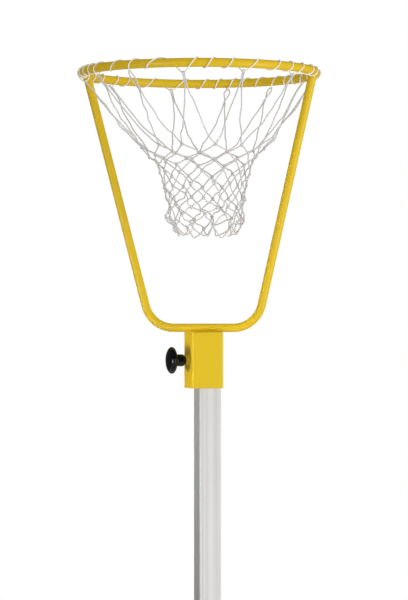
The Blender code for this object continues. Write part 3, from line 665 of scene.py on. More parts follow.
def black_rubber():
    material, put, shader = finish("foot_rubber_black", IOR=1.5, Specular_IOR_Level=0.35)
    tone = put("ShaderNodeGroup", {
        "Colour": (0.022, 0.022, 0.023, 1.0), "Roughness": 0.74, "Cloud Scale": 40.0,
        "Mark Scale": 300.0, "Tone Change": 0.5, "Gloss Change": 0.3,
    }, node_tree=mottle)
    skin = put("ShaderNodeGroup", {
        "Stretch": (1400.0, 1400.0, 1400.0), "Depth": 0.0001, "Detail": 3.0,
    }, node_tree=relief)
    wire(material, shader, Base_Color=tone.outputs["Colour"], Roughness=tone.outputs["Roughness"],
         Normal=skin.outputs["Normal"])
    return material


def zinc_plate():
    """Bright passivated zinc, faintly blue in places and yellow in others."""
    material, put, shader = finish("zinc_plating", Metallic=1.0)
    place = put("ShaderNodeTexCoord").outputs["Object"]
    tint = put("ShaderNodeTexNoise", {"Vector": place, "Scale": 160.0, "Detail": 3.0})
    colours = put("ShaderNodeMix", {
        0: tint.outputs[0], 6: (0.56, 0.60, 0.66, 1.0), 7: (0.70, 0.66, 0.55, 1.0),
    }, data_type="RGBA")
    tone = put("ShaderNodeGroup", {
        "Colour": colours.outputs[2], "Roughness": 0.30, "Cloud Scale": 60.0,
        "Mark Scale": 400.0, "Tone Change": 0.12, "Gloss Change": 0.25,
    }, node_tree=mottle)
    skin = put("ShaderNodeGroup", {
        "Stretch": (2600.0, 2600.0, 2600.0), "Depth": 0.00002, "Detail": 2.0,
    }, node_tree=relief)
    wire(material, shader, Base_Color=tone.outputs["Colour"], Roughness=tone.outputs["Roughness"],
         Normal=skin.outputs["Normal"])
    return material


def thread_tree():
    """A threaded bar along Z: a cylinder whose side is drawn in between the thread's crests."""
    tree, put, given = geometry_tree("threaded_bar", {
        "Diameter": ("Float", 0.010), "Length": ("Float", 0.03), "Pitch": ("Float", 0.0015),
        "Thread Depth": ("Float", 0.0009), "Sides": ("Int", 32), "Finish": ("Material", None),
    })
    radius = put("ShaderNodeMath", {0: given["Diameter"], 1: 0.5}, operation="MULTIPLY").outputs[0]
    turns = put("ShaderNodeMath", {0: given["Length"], 1: given["Pitch"]}, operation="DIVIDE").outputs[0]
    rows = put("ShaderNodeMath", {0: turns, 1: 8.0}, operation="MULTIPLY").outputs[0]
    blank = put("GeometryNodeMeshCylinder", {
        "Vertices": given["Sides"], "Side Segments": rows, "Radius": radius, "Depth": given["Length"],
    })
    place = put("GeometryNodeInputPosition").outputs[0]
    parts = put("ShaderNodeSeparateXYZ", {0: place}).outputs
    turn = put("ShaderNodeMath", {0: parts["Y"], 1: parts["X"]}, operation="ARCTAN2").outputs[0]
    share = put("ShaderNodeMath", {0: turn, 1: 2 * math.pi}, operation="DIVIDE").outputs[0]
    climbed = put("ShaderNodeMath", {0: parts["Z"], 1: given["Pitch"]}, operation="DIVIDE").outputs[0]
    phase = put("ShaderNodeMath", {0: climbed, 1: share}, operation="SUBTRACT").outputs[0]
    whole = put("ShaderNodeMath", {0: phase}, operation="FRACT").outputs[0]
    crest = put("ShaderNodeMath", {0: whole, 1: 0.5}, operation="PINGPONG").outputs[0]
    half = put("ShaderNodeMath", {0: given["Length"], 1: 0.5}, operation="MULTIPLY").outputs[0]
    height = put("ShaderNodeMath", {0: parts["Z"]}, operation="ABSOLUTE").outputs[0]
    left = put("ShaderNodeMath", {0: half, 1: height}, operation="SUBTRACT").outputs[0]
    run_out = put("ShaderNodeMath", {
        0: left, 1: given["Pitch"],
    }, operation="DIVIDE", use_clamp=True).outputs[0]
    tall = put("ShaderNodeMath", {0: crest, 1: 2.0}, operation="MULTIPLY").outputs[0]
    kept = put("ShaderNodeMath", {0: tall, 1: run_out}, operation="MULTIPLY").outputs[0]
    cut = put("ShaderNodeMath", {0: 1.0, 1: kept}, operation="SUBTRACT").outputs[0]
    depth = put("ShaderNodeMath", {0: cut, 1: given["Thread Depth"]}, operation="MULTIPLY").outputs[0]
    inward = put("ShaderNodeMath", {0: depth, 1: radius}, operation="DIVIDE").outputs[0]
    flat = put("ShaderNodeCombineXYZ", {0: parts["X"], 1: parts["Y"]}).outputs[0]
    back = put("ShaderNodeMath", {0: inward, 1: -1.0}, operation="MULTIPLY").outputs[0]
    shift = put("ShaderNodeVectorMath", {0: flat, "Scale": back}, operation="SCALE").outputs[0]
    threaded = put("GeometryNodeSetPosition", {"Geometry": blank.outputs[0], "Offset": shift})
    smooth = put("GeometryNodeSetShadeSmooth", {"Geometry": threaded.outputs[0]})
    deliver(put, smooth.outputs[0], given["Finish"])
    return tree


def smooth_least(first, second, blend):
    """The lesser of two lengths, with the corner between them rounded off."""
    share = np.clip(0.5 + 0.5 * (second - first) / blend, 0.0, 1.0)
    return second * (1 - share) + first * share - blend * share * (1 - share)


def hexagon_nut(name, across_flats, bore, low, high, material, flange=None):
    """A hexagon nut about Z, its corners turned off at the top; a flange is (radius, height)."""
    steps = 96
    angles = np.arange(steps) * 2 * math.pi / steps
    sector = (angles + math.pi / 6) % (math.pi / 3) - math.pi / 6
    hexagon = across_flats / 2 / np.cos(sector)
    corner = across_flats / 2 / math.cos(math.pi / 6)
    start = low if flange is None else low + flange[1]
    sides = [(start, hexagon)]
    for share in (0.0, 0.15, 0.3, 0.5, 0.7, 0.85, 1.0):
        fall = (corner - across_flats / 2) * math.tan(math.radians(30)) * (1 - share) * 1.3
        cone = np.full(steps, across_flats / 2 * 0.985) + fall / math.tan(math.radians(30))
        sides.append((high - fall, smooth_least(hexagon, cone, 0.0002)))
    if flange is not None:
        circle = np.full(steps, flange[0])
        sides = [
            (low, circle - 0.0002), (low + 0.0003, circle), (low + flange[1] * 0.6, circle),
            (start, hexagon * 1.02),
        ] + sides[1:]
    hole = np.full(steps, bore / 2)
    sides += [(high, hole + 0.0005), (high - 0.0005, hole), (low + 0.0005, hole), (low, hole + 0.0005)]
    rings = [
        np.stack([r * np.cos(angles), r * np.sin(angles), np.full(steps, z)], axis=1)
        for z, r in sides
    ]
    return skin_over(name, rings, material, closed=True, crease=28.0)


rubber = black_rubber()
zinc = zinc_plate()
threads = thread_tree()

foot_low, foot_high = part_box("foot_1")
foot_radius = (foot_high.x - foot_low.x) / 2
foot_height = foot_high.z
foot_places = []
for number in range(1, 5):
    low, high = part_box(f"foot_{number}")
    foot_places.append(Vector(((low.x + high.x) / 2, (low.y + high.y) / 2, 0.0)))
foot_ways = [place.normalized() for place in foot_places]

foot_profile = [
    (0.0, 0.0), (foot_radius - 0.0016, 0.0), (foot_radius - 0.0005, 0.0004),
    (foot_radius, 0.0015), (foot_radius, 0.0038), (foot_radius - 0.0004, 0.0046),
    (0.0226, foot_height - 0.0012), (0.0221, foot_height - 0.0003), (0.0214, foot_height),
    (0.0, foot_height),
]
feet = copied("feet_dressed", turned("foot", foot_profile, rubber), foot_places, foot_ways, rubber)
fit("feet_dressed", feet, "base", "foot_rubber", "foot_1", "foot_2", "foot_3", "foot_4")

nut_low, nut_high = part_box("foot_nut_1")
foot_nut = hexagon_nut(
    "foot_nut", 0.013, 0.0086, 0.0, nut_high.z - nut_low.z, zinc, flange=(0.009, 0.0015)
)
nut_places = [place + Vector((0.0, 0.0, nut_low.z - 0.0002)) for place in foot_places]
nuts = copied("foot_nuts_dressed", foot_nut, nut_places, foot_ways, zinc)
fit("foot_nuts_dressed", nuts, "base", "zinc_steel", *[f"foot_nut_{n}" for n in range(1, 5)])

stud_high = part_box("foot_stud_1")[1]
stud_length = stud_high.z - foot_height + 0.002
foot_stud = worked(
    "foot_stud", bpy.data.meshes.new("blank"), threads, Diameter=0.008, Length=stud_length,
    Pitch=0.00125, Thread_Depth=0.00075, Sides=32, Finish=zinc,
)
foot_stud.transform(Matrix.Translation((0.0, 0.0, stud_high.z - stud_length / 2)))
studs = copied("foot_studs_dressed", foot_stud, foot_places, foot_ways, zinc)
fit("foot_studs_dressed", studs, "base", "zinc_steel", *[f"foot_stud_{n}" for n in range(1, 5)])


# Post. A square aluminium extrusion, left as it came from the mill: straight die lines run its
# whole length, with a faint cloudiness between them. Black plugs close both ends.
def mill_aluminium():
    material, put, shader = finish("mill_aluminium", Metallic=0.88, Specular_IOR_Level=0.3)
    lines = put("ShaderNodeGroup", {
        "Stretch": (1100.0, 1100.0, 4.0), "Depth": 0.000035, "Detail": 4.0,
    }, node_tree=relief)
    bands = put("ShaderNodeGroup", {
        "Stretch": (240.0, 240.0, 0.4), "Depth": 0.0, "Detail": 3.0,
    }, node_tree=relief)
    streaks = put("ShaderNodeMapRange", {
        "Value": bands.outputs["Relief"], "From Min": 0.32, "From Max": 0.68,
    })
    colour = put("ShaderNodeMix", {
        0: streaks.outputs[0], 6: (0.82, 0.81, 0.80, 1.0), 7: (1.0, 0.99, 0.98, 1.0),
    }, data_type="RGBA")
    tone = put("ShaderNodeGroup", {
        "Colour": colour.outputs[2], "Roughness": 0.55, "Cloud Scale": 5.0,
        "Mark Scale": 45.0, "Tone Change": 0.10, "Gloss Change": 0.14,
    }, node_tree=mottle)
    wire(material, shader, Base_Color=tone.outputs["Colour"], Roughness=tone.outputs["Roughness"],
         Normal=lines.outputs["Normal"])
    return material


def matt_plastic():
    material, put, shader = finish("plug_plastic", IOR=1.49)
    tone = put("ShaderNodeGroup", {
        "Colour": (0.016, 0.016, 0.017, 1.0), "Roughness": 0.5, "Cloud Scale": 60.0,
        "Mark Scale": 350.0, "Tone Change": 0.4, "Gloss Change": 0.2,
    }, node_tree=mottle)
    skin = put("ShaderNodeGroup", {
        "Stretch": (2200.0, 2200.0, 2200.0), "Depth": 0.00005, "Detail": 2.0,
    }, node_tree=relief)
    wire(material, shader, Base_Color=tone.outputs["Colour"], Roughness=tone.outputs["Roughness"],
         Normal=skin.outputs["Normal"])
    return material


aluminium = mill_aluminium()
plug_plastic = matt_plastic()
post_low, post_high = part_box("post")
post_side = post_high.x - post_low.x
post_centre = ((post_low.x + post_high.x) / 2, (post_low.y + post_high.y) / 2)
post_mesh = square_tube(
    "post_dressed", post_side, 0.0025, 0.0015, post_low.z, post_high.z, 0.0003, aluminium, post_centre
)
fit("post_dressed", post_mesh, "post", "bare_aluminium", "post")

for plug in ("post_top_plug", "post_foot_plug"):
    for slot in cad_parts[plug].material_slots:
        slot.material = plug_plastic


# Clamp screws. A fluted black knob moulded on a zinc-plated stud, which runs in a nut welded over
# the sleeve's screw hole and pushes a nylon pad against the post. The stand has two alike.
def knob_plastic():
    material, put, shader = finish("knob_plastic", IOR=1.5, Specular_IOR_Level=0.3)
    tone = put("ShaderNodeGroup", {
        "Colour": (0.004, 0.004, 0.0045, 1.0), "Roughness": 0.17, "Cloud Scale": 45.0,
        "Mark Scale": 260.0, "Tone Change": 0.5, "Gloss Change": 0.14,
    }, node_tree=mottle)
    worn = put("ShaderNodeGroup", {
        "Colour": tone.outputs["Colour"], "Worn Colour": (0.014, 0.014, 0.015, 1.0),
        "Wear": 0.5, "Break Up": 500.0,
    }, node_tree=edge_wear)
    skin = put("ShaderNodeGroup", {
        "Stretch": (900.0, 900.0, 900.0), "Depth": 0.00003, "Detail": 2.0,
    }, node_tree=relief)
    wire(material, shader, Base_Color=worn.outputs["Colour"], Roughness=tone.outputs["Roughness"],
         Normal=skin.outputs["Normal"])
    return material


def natural_nylon():
    material, put, shader = finish("pad_nylon_natural", IOR=1.53, Subsurface_Weight=0.15)
    shader.inputs["Subsurface Radius"].default_value = (0.002, 0.002, 0.0016)
    tone = put("ShaderNodeGroup", {
        "Colour": (0.80, 0.79, 0.74, 1.0), "Roughness": 0.48, "Cloud Scale": 90.0,
        "Mark Scale": 500.0, "Tone Change": 0.08, "Gloss Change": 0.15,
    }, node_tree=mottle)
    skin = put("ShaderNodeGroup", {
        "Stretch": (1500.0, 1500.0, 1500.0), "Depth": 0.00004, "Detail": 2.0,
    }, node_tree=relief)
    wire(material, shader, Base_Color=tone.outputs["Colour"], Roughness=tone.outputs["Roughness"],
         Normal=skin.outputs["Normal"])
    return material


black_gloss = knob_plastic()
nylon = natural_nylon()

hub_diameter = 0.0242
hub_length = 0.0195
nose_diameter = 0.0150
nose_length = 0.0050
head_diameter = 0.0540
underside_height = 0.0085
dome_height = 0.0110
lobe_count = 8
flute_radius = 0.0095
flute_depth = 0.0021


def knob_line():
    """(radius, height) from the hub's end, over the hub and the head, to the head's crown."""
    rim = head_diameter / 2
    hub = hub_diameter / 2
    rim_level = hub_length + underside_height
    line = [(0.0, 0.0), (nose_diameter / 2 - 0.0010, 0.0), (nose_diameter / 2 - 0.0002, 0.0003)]
    for share in np.linspace(0.0, 1.0, 9):
        swell = math.sin(share * math.pi / 2)
        line.append((nose_diameter / 2 + (hub - nose_diameter / 2) * swell, 0.0008 + nose_length * share))
    line += [(hub, hub_length * 0.6), (hub, hub_length - 0.0024)]
    fillet = 0.0022
    for share in np.linspace(0.2, 1.0, 4):
        line.append((hub + fillet * (1 - math.cos(share * math.pi / 2)) * 0.8,
                     hub_length - 0.0024 + fillet * math.sin(share * math.pi / 2)))
    for turn in np.linspace(math.pi / 2 * 0.82, 0.0, 14):
        reach = hub + (rim - hub) * math.cos(turn) ** 0.95
        line.append((reach, rim_level - underside_height * math.sin(turn)))
    for turn in np.linspace(0.0, math.pi / 2, 18)[1:]:
        line.append((rim * math.cos(turn) ** 0.97, rim_level + dome_height * math.sin(turn) ** 1.05))
    line[-1] = (0.0, rim_level + dome_height)
    return line


def knob_mesh(name):
    """The knob along +Z from its hub's end, its flutes cut parallel to the axis and softened."""
    steps = 192
    angles = np.arange(steps) * 2 * math.pi / steps
    pitch = 2 * math.pi / lobe_count
    across = (angles % pitch) - pitch / 2
    centre = head_diameter / 2 + flute_radius - flute_depth
    under_root = np.clip(flute_radius ** 2 - (centre * np.sin(across)) ** 2, 0.0, None)
    flute = np.where(
        np.abs(across) < math.asin(flute_radius / centre),
        centre * np.cos(across) - np.sqrt(under_root), head_diameter,
    )
    rings = []
    for radius, height in knob_line():
        reach = np.full(steps, radius)
        if radius > 0.015:
            reach = smooth_least(reach, flute, 0.0012)
        ring = [reach * np.cos(angles), reach * np.sin(angles), np.full(steps, height)]
        rings.append(np.stack(ring, axis=1))
    return skin_over(name, rings, black_gloss, crease=60.0)


def clamp_screw(prefix, sleeve_body, feed_body, screw_body):
    """Nut, weld, knob, stud and pad of one clamp, along the sleeve's left face's outward normal."""
    nut_low, nut_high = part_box(f"{prefix}_nut")
    knob_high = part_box(f"{prefix}_knob")[1]
    stud_low, stud_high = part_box(f"{prefix}_stud")
    pad_low, pad_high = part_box(f"{prefix}_pad")
    middle = (nut_low + nut_high) / 2
    outward = Matrix.Translation((0.0, middle.y, middle.z)) @ Matrix.Rotation(-math.pi / 2, 4, "Y")

    def seated(mesh, x):
        mesh.transform(Matrix.Translation((x, 0.0, 0.0)) @ outward)
        return mesh

    thickness = nut_high.x - nut_low.x
    nut = hexagon_nut(f"{prefix}_nut_dressed", 0.017, 0.0106, 0.0, thickness, enamel)
    fit(f"{prefix}_nut_dressed", seated(nut, nut_high.x), sleeve_body, "yellow_paint", f"{prefix}_nut")
    ring = [
        (nut_high.x + 0.0001, middle.y + 0.0092 * math.cos(t), middle.z + 0.0092 * math.sin(t))
        for t in np.arange(40) * 2 * math.pi / 40
    ]
    weld(f"{prefix}_nut_weld", [(ring, True)], sleeve_body, 0.0016, 0.0024, 0.14)
    knob = seated(knob_mesh(f"{prefix}_knob_dressed"), knob_high.x)
    fit(f"{prefix}_knob_dressed", knob, screw_body, "black_plastic", f"{prefix}_knob")
    length = stud_high.x - stud_low.x - 0.001
    stud = worked(
        f"{prefix}_stud_dressed", bpy.data.meshes.new("blank"), threads, Diameter=0.010,
        Length=length, Pitch=0.0015, Thread_Depth=0.0009, Sides=36, Finish=zinc,
    )
    stud = seated(stud, stud_high.x - length / 2)
    fit(f"{prefix}_stud_dressed", stud, screw_body, "zinc_steel", f"{prefix}_stud")
    depth = pad_high.x - pad_low.x
    side = (pad_high.y - pad_low.y) / 2
    pad_profile = [
        (0.0, 0.0), (side - 0.0006, 0.0), (side, 0.0005), (side, depth - 0.0006),
        (side - 0.0002, depth - 0.0002), (side - 0.0006, depth), (0.0, depth),
    ]
    pad = seated(turned(f"{prefix}_pad_dressed", pad_profile, nylon, 40), pad_high.x)
    fit(f"{prefix}_pad_dressed", pad, feed_body, "pad_nylon", f"{prefix}_pad")


clamp_screw("base", "base", "base_clamp_feed", "base_clamp_screw")
clamp_screw("clamp", "head", "clamp_feed", "clamp_screw")


# Collar. A square steel sleeve that slides over the post, closed by a plate welded on its top end.
# The seam between the two is ground almost flush, and shows as a fine line under the enamel.
collar_low, collar_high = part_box("collar")
cap_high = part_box("collar_cap")[1]
collar_side = collar_high.x - collar_low.x
sleeve("collar_dressed", "collar", "head", enamel)
cap = plate(
    "collar_cap_dressed", collar_side, sleeve_corner, collar_high.z - 0.0002, cap_high.z, 0.0005, enamel
)
fit("collar_cap_dressed", cap, "head", "yellow_paint", "collar_cap")
seam = round_square(collar_side - 0.0008, sleeve_corner, collar_high.z)
weld("collar_seam", [(seam, True)], "head", 0.0006, 0.0035, 0.12)


# Yoke. One length of round steel tube, bent twice, its ends coped to sit under the hoop and welded
# all round. Its bar lies across the collar's cap, where a weld runs along each side.
yoke_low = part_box("yoke")[0]
hoop_bar = hoop_high.z - hoop_low.z
hoop_radius = (hoop_high.x - hoop_low.x - hoop_bar) / 2
yoke_radius = 0.0085
yoke_turn = math.radians(-29.0)
yoke_bar_level = yoke_low.z + yoke_radius
yoke_foot_half = 0.109
hoop_aside = 0.0092
yoke_bend = 0.060
arm_rise = hoop_centre.z - yoke_bar_level
arm_feet = {way: yoke_foot_half + way * hoop_aside for way in (-1, 1)}
arm_leans = {way: math.atan2(hoop_radius - arm_feet[way], arm_rise) for way in (-1, 1)}


def yoke_half(way):
    """The tube's centreline in its own plane, from the bar's middle up the left or right arm."""
    lean = arm_leans[way]
    tangent = yoke_bend * math.tan((math.pi / 2 - lean) / 2)
    corner = arm_feet[way] - tangent
    turns = np.linspace(-math.pi / 2, -lean, 26)
    line = [(corner * share, -arm_rise) for share in (0.12, 0.36, 0.6, 0.82)]
    line += [
        (corner + yoke_bend * math.cos(t), -arm_rise + yoke_bend * (1 + math.sin(t))) for t in turns
    ]
    end = np.array((hoop_radius - 0.004 * math.sin(lean), -0.004 * math.cos(lean)))
    start = np.array(line[-1])
    line += [tuple(start + (end - start) * share) for share in np.linspace(0.0, 1.0, 24)[1:]]
    return [yoke_way * way * x + Vector((0.0, 0.0, z)) + hoop_centre for x, z in line]


def tube_along(name, places, radius, material, sides=28):
    """A round bar along a flat line of points, its sections square to the line."""
    places = np.asarray(places, float)
    along = np.gradient(places, axis=0)
    along /= np.linalg.norm(along, axis=1, keepdims=True)
    level = np.array([-math.sin(yoke_turn), math.cos(yoke_turn), 0.0])
    upright = np.cross(level, along)
    angles = np.arange(sides) * 2 * math.pi / sides
    rings = [
        place + radius * (np.outer(np.cos(angles), level) + np.outer(np.sin(angles), up))
        for place, up in zip(places, upright)
    ]
    return skin_over(name, rings, material)


yoke_way = Vector((math.cos(yoke_turn), math.sin(yoke_turn), 0.0))
yoke_places = yoke_half(-1)[::-1] + yoke_half(1)
yoke_mesh = tube_along("yoke_dressed", yoke_places, yoke_radius, enamel)
fit("yoke_dressed", yoke_mesh, "head", "yellow_paint", "yoke")

saddles = []
yoke_level = Vector((-yoke_way.y, yoke_way.x, 0.0))
for side, lean in arm_leans.items():
    down = -side * math.sin(lean) * yoke_way - Vector((0.0, 0.0, math.cos(lean)))
    joint = hoop_centre + side * yoke_way * hoop_radius
    across = down.cross(yoke_level)
    saddle = []
    for t in np.arange(36) * 2 * math.pi / 36:
        out_across = yoke_radius * math.cos(t)
        out_level = yoke_radius * math.sin(t)
        deep = math.sqrt(max((hoop_bar / 2) ** 2 - out_across ** 2, 0.0))
        saddle.append(joint + down * deep * 1.02 + across * out_across + yoke_level * out_level)
    saddles.append((saddle, True))
weld("yoke_end_welds", saddles, "head", 0.0019, 0.0026, 0.08)

bar_runs = []
bar_reach = collar_side / 2 / math.cos(yoke_turn) - 0.001
for side in (-1, 1):
    off = yoke_level * side * 0.0056 + Vector((0.0, 0.0, cap_high.z + 0.0012))
    bar_runs.append(([off + yoke_way * s for s in np.linspace(-bar_reach, bar_reach, 12)], False))
weld("yoke_bar_welds", bar_runs, "head", 0.0019, 0.0030, 0.07)


# Hoop. A round steel bar rolled to a ring, its ends butt-welded over the left arm and ground, which
# leaves the joint very slightly proud. It is sprayed with the yoke.
def hoop_mesh():
    steps, sides = 288, 32
    angles = np.arange(steps) * 2 * math.pi / steps
    joint = math.pi + yoke_turn
    away = (angles - joint + math.pi) % (2 * math.pi) - math.pi
    proud = 0.00035 * np.exp(-(away * hoop_radius / 0.004) ** 2)
    section = np.arange(sides) * 2 * math.pi / sides
    rings = []
    for angle, more in zip(angles, proud):
        reach = hoop_bar / 2 + more
        outward = hoop_radius + reach * np.cos(section)
        rings.append(np.array(hoop_centre) + np.stack([
            outward * math.cos(angle), outward * math.sin(angle), reach * np.sin(section),
        ], axis=1))
    return skin_over("hoop_dressed", rings, enamel, closed=True)


fit("hoop_dressed", hoop_mesh(), "head", "yellow_paint", "hoop")


# Lacing. One white twisted cord, wound by hand right round the hoop's bar some thirty-five times.
# It is let down under the bar at twelve places, to carry the net's top loops, and its two ends meet
# at the hoop's right tip.
def cord_tree():
    """Round cord along lines, with a UV map: metres along it, and turns about it."""
    tree, put, given = geometry_tree("cord_along_lines", {
        "Cord Diameter": ("Float", 0.0026), "Sides": ("Int", 8), "Finish": ("Material", None),
    })
    lines = put("GeometryNodeMeshToCurve", {"Mesh": given["Geometry"]})
    along = put("GeometryNodeSplineParameter")
    measured = put("GeometryNodeCaptureAttribute", {"Geometry": lines.outputs[0]})
    measured.capture_items.new("FLOAT", "Along")
    tree.links.new(along.outputs["Length"], measured.inputs["Along"])
    radius = put("ShaderNodeMath", {0: given["Cord Diameter"], 1: 0.5}, operation="MULTIPLY")
    circle = put("GeometryNodeCurvePrimitiveCircle", {
        "Resolution": given["Sides"], "Radius": radius.outputs[0],
    })
    section = put("GeometryNodeCaptureAttribute", {"Geometry": circle.outputs[0]})
    section.capture_items.new("FLOAT", "Around")
    tree.links.new(along.outputs["Factor"], section.inputs["Around"])
    cord = put("GeometryNodeCurveToMesh", {
        "Curve": measured.outputs[0], "Profile Curve": section.outputs[0], "Fill Caps": True,
    })
    around = section.outputs["Around"]
    mean = put("GeometryNodeFieldOnDomain", {"Value": around}, domain="FACE", data_type="FLOAT")
    behind = put("ShaderNodeMath", {0: mean.outputs[0], 1: around}, operation="SUBTRACT")
    wrapped = put("ShaderNodeMath", {0: behind.outputs[0], 1: 0.3}, operation="GREATER_THAN")
    whole = put("ShaderNodeMath", {0: around, 1: wrapped.outputs[0]}, operation="ADD")
    place = put("ShaderNodeCombineXYZ", {0: measured.outputs["Along"], 1: whole.outputs[0]})
    mapped = put("GeometryNodeStoreNamedAttribute", {
        "Geometry": cord.outputs[0], "Name": "UVMap", "Value": place.outputs[0],
    }, data_type="FLOAT2", domain="CORNER")
    smooth = put("GeometryNodeSetShadeSmooth", {"Geometry": mapped.outputs[0]})
    deliver(put, smooth.outputs[0], given["Finish"])
    return tree


def lay_group():
    """The lay of a three-strand cord, from its UV map: ridges that climb round it."""
    tree, put, given = shader_group("cord_lay", {
        "Lay Length": ("Float", 0.007), "Strands": ("Float", 3.0), "Depth": ("Float", 0.0003),
    }, {"Ridge": "Float", "Normal": "Vector"})
    place = put("ShaderNodeUVMap", uv_map="UVMap").outputs[0]
    parts = put("ShaderNodeSeparateXYZ", {0: place}).outputs
    climbed = put("ShaderNodeMath", {0: parts["X"], 1: given["Lay Length"]}, operation="DIVIDE")
    turned_by = put("ShaderNodeMath", {0: climbed.outputs[0], 1: parts["Y"]}, operation="ADD")
    strand = put("ShaderNodeMath", {0: turned_by.outputs[0], 1: given["Strands"]}, operation="MULTIPLY")
    share = put("ShaderNodeMath", {0: strand.outputs[0], 1: 0.5}, operation="PINGPONG")
    tall = put("ShaderNodeMath", {0: share.outputs[0], 1: 2.0}, operation="MULTIPLY")
    ridge = put("ShaderNodeMath", {0: tall.outputs[0], 1: 0.6}, operation="POWER")
    bump = put("ShaderNodeBump", {"Height": ridge.outputs[0], "Distance": given["Depth"], "Strength": 1.0})
    put("NodeGroupOutput", {"Ridge": ridge.outputs[0], "Normal": bump.outputs[0]})
    return tree


lay = lay_group()
cords = cord_tree()


def white_cord(name, colour, groove_shade_colour):
    material, put, shader = finish(name, Sheen_Weight=0.25, Sheen_Roughness=0.5, Specular_IOR_Level=0.2)
    twist = put("ShaderNodeGroup", {
        "Lay Length": 0.008, "Strands": 3.0, "Depth": 0.00022,
    }, node_tree=lay)
    # Painted shade: the grooves between the strands take a darker colour, as if shaded by the strands beside
    # them.
    strand = put("ShaderNodeMix", {
        0: twist.outputs["Ridge"], 6: groove_shade_colour, 7: colour,
    }, data_type="RGBA")
    tone = put("ShaderNodeGroup", {
        "Colour": strand.outputs[2], "Roughness": 0.82, "Cloud Scale": 22.0,
        "Mark Scale": 900.0, "Tone Change": 0.16, "Gloss Change": 0.15,
    }, node_tree=mottle)
    wire(material, shader, Base_Color=tone.outputs["Colour"], Roughness=tone.outputs["Roughness"],
         Normal=twist.outputs["Normal"])
    return material


# The second colour of each cord is painted shade, laid in the grooves between its strands.
lacing_white = white_cord("lacing_cord_white", (1.0, 0.97, 0.86, 1.0), (0.92, 0.88, 0.76, 1.0))
lacing_cord = 0.0026
wound_radius = hoop_bar / 2 + lacing_cord / 2 + 0.00015

# Turns of the winding and where round the hoop they fall, in degrees from the picture's right. The
# cord is outside the bar at each whole turn, inside it at each half, and under it at three quarters.
winding = [
    (-0.30, 2.6), (0.0, 6.5), (0.5, 12.0), (1.5, 22.0), (1.75, 26.0), (2.5, 31.5), (3.5, 38.5),
    (4.5, 46.5),
    (4.75, 50.2), (5.5, 57.8), (6.5, 66.4), (7.5, 72.4), (7.75, 75.2), (8.5, 80.5), (9.5, 87.5),
    (10.5, 99.5), (10.75, 104.8), (11.5, 116.8), (12.5, 131.0), (13.5, 138.5), (13.75, 142.3),
    (14.5, 151.0), (15.5, 160.5), (15.75, 163.5), (16.0, 165.5), (16.5, 172.5), (16.75, 175.2),
    (17.5, 181.0),
    (18.5, 188.5), (19.5, 196.0), (20.0, 199.5), (21.0, 206.1), (21.75, 210.3), (22.0, 212.0),
    (23.0, 226.0), (23.75, 234.4), (24.0, 236.2), (25.0, 246.4), (25.75, 262.3), (26.0, 267.2),
    (27.0, 274.6), (28.0, 284.6), (28.75, 291.4), (29.0, 296.5), (30.0, 309.6), (31.0, 318.5),
    (31.75, 322.2), (32.0, 326.8), (33.0, 338.1), (33.75, 343.0), (34.0, 344.6), (34.5, 353.5),
    (34.75, 356.6), (35.0, 358.6), (35.35, 361.5),
]

# The net's top loops: the turn that carries each, how far the cord is let down for it, the width
# and length of its eye, how far its two legs then run together, and whether they cross (metres).
top_loops = [
    (1.75, 0.0042, 0.005, 0.010, 0.012, False), (4.75, 0.0045, 0.010, 0.022, 0.020, True),
    (7.75, 0.0045, 0.012, 0.024, 0.016, True), (10.75, 0.0042, 0.004, 0.010, 0.022, False),
    (13.75, 0.0042, 0.006, 0.014, 0.010, False), (16.75, 0.0045, 0.006, 0.014, 0.012, False),
    (21.75, 0.0048, 0.006, 0.012, 0.016, True), (23.75, 0.0048, 0.010, 0.036, 0.008, True),
    (25.75, 0.0105, 0.003, 0.008, 0.018, False), (28.75, 0.0055, 0.003, 0.008, 0.016, False),
    (31.75, 0.0050, 0.004, 0.010, 0.014, False), (34.75, 0.0045, 0.006, 0.014, 0.012, False),
]
net_mouth_radius = 0.1237
net_mouth_drop = 0.1498


def ring_way(degrees):
    """The direction from the hoop's centre, given as the picture has it."""
    turn = math.radians(degrees) - camera_turn
    return Vector((math.cos(turn), math.sin(turn), 0.0))


def pull_from(way):
    """The direction in which the net pulls at the hoop there: inwards and down."""
    return (way * (net_mouth_radius - hoop_radius) - Vector((0.0, 0.0, net_mouth_drop))).normalized()


def evened(values, reach):
    """A line of numbers with its kinks taken out over a few steps, its ends kept."""
    padded = np.concatenate([
        2 * values[0] - values[reach:0:-1], values, 2 * values[-1] - values[-2:-reach - 2:-1],
    ])
    weights = np.hanning(2 * reach + 3)[1:-1]
    return np.convolve(padded, weights / weights.sum(), mode="valid")


lacing_steps_per_turn = 28
lacing_dip = 0.24     # of a turn to either side of a top loop, where the cord is let down
first_turn, last_turn = winding[0][0], winding[-1][0]
lacing_turns = np.linspace(first_turn, last_turn, int((last_turn - first_turn) * lacing_steps_per_turn))
lacing_degrees = evened(np.interp(lacing_turns, *zip(*winding)), 5)


def lacing_place(turn, degrees):
    """A point of the lacing's centreline."""
    way = ring_way(degrees)
    section = 2 * math.pi * (turn - 0.75)
    place = hoop_centre + way * (hoop_radius + wound_radius * math.sin(section))
    place.z -= wound_radius * math.cos(section)
    for carried, let_down, *_ in top_loops:
        near = abs(turn - carried) / lacing_dip
        if near < 1:
            place = place + pull_from(way) * let_down * math.cos(near * math.pi / 2) ** 2
    return place


lacing_places = [lacing_place(turn, degrees) for turn, degrees in zip(lacing_turns, lacing_degrees)]
lacing_mesh = worked(
    "lacing_dressed", lines_mesh("lacing", [(lacing_places, False)]), cords,
    Cord_Diameter=lacing_cord, Sides=10, Finish=lacing_white,
)
fit("lacing_dressed", lacing_mesh, "head", "net_cord", "net_lacing")


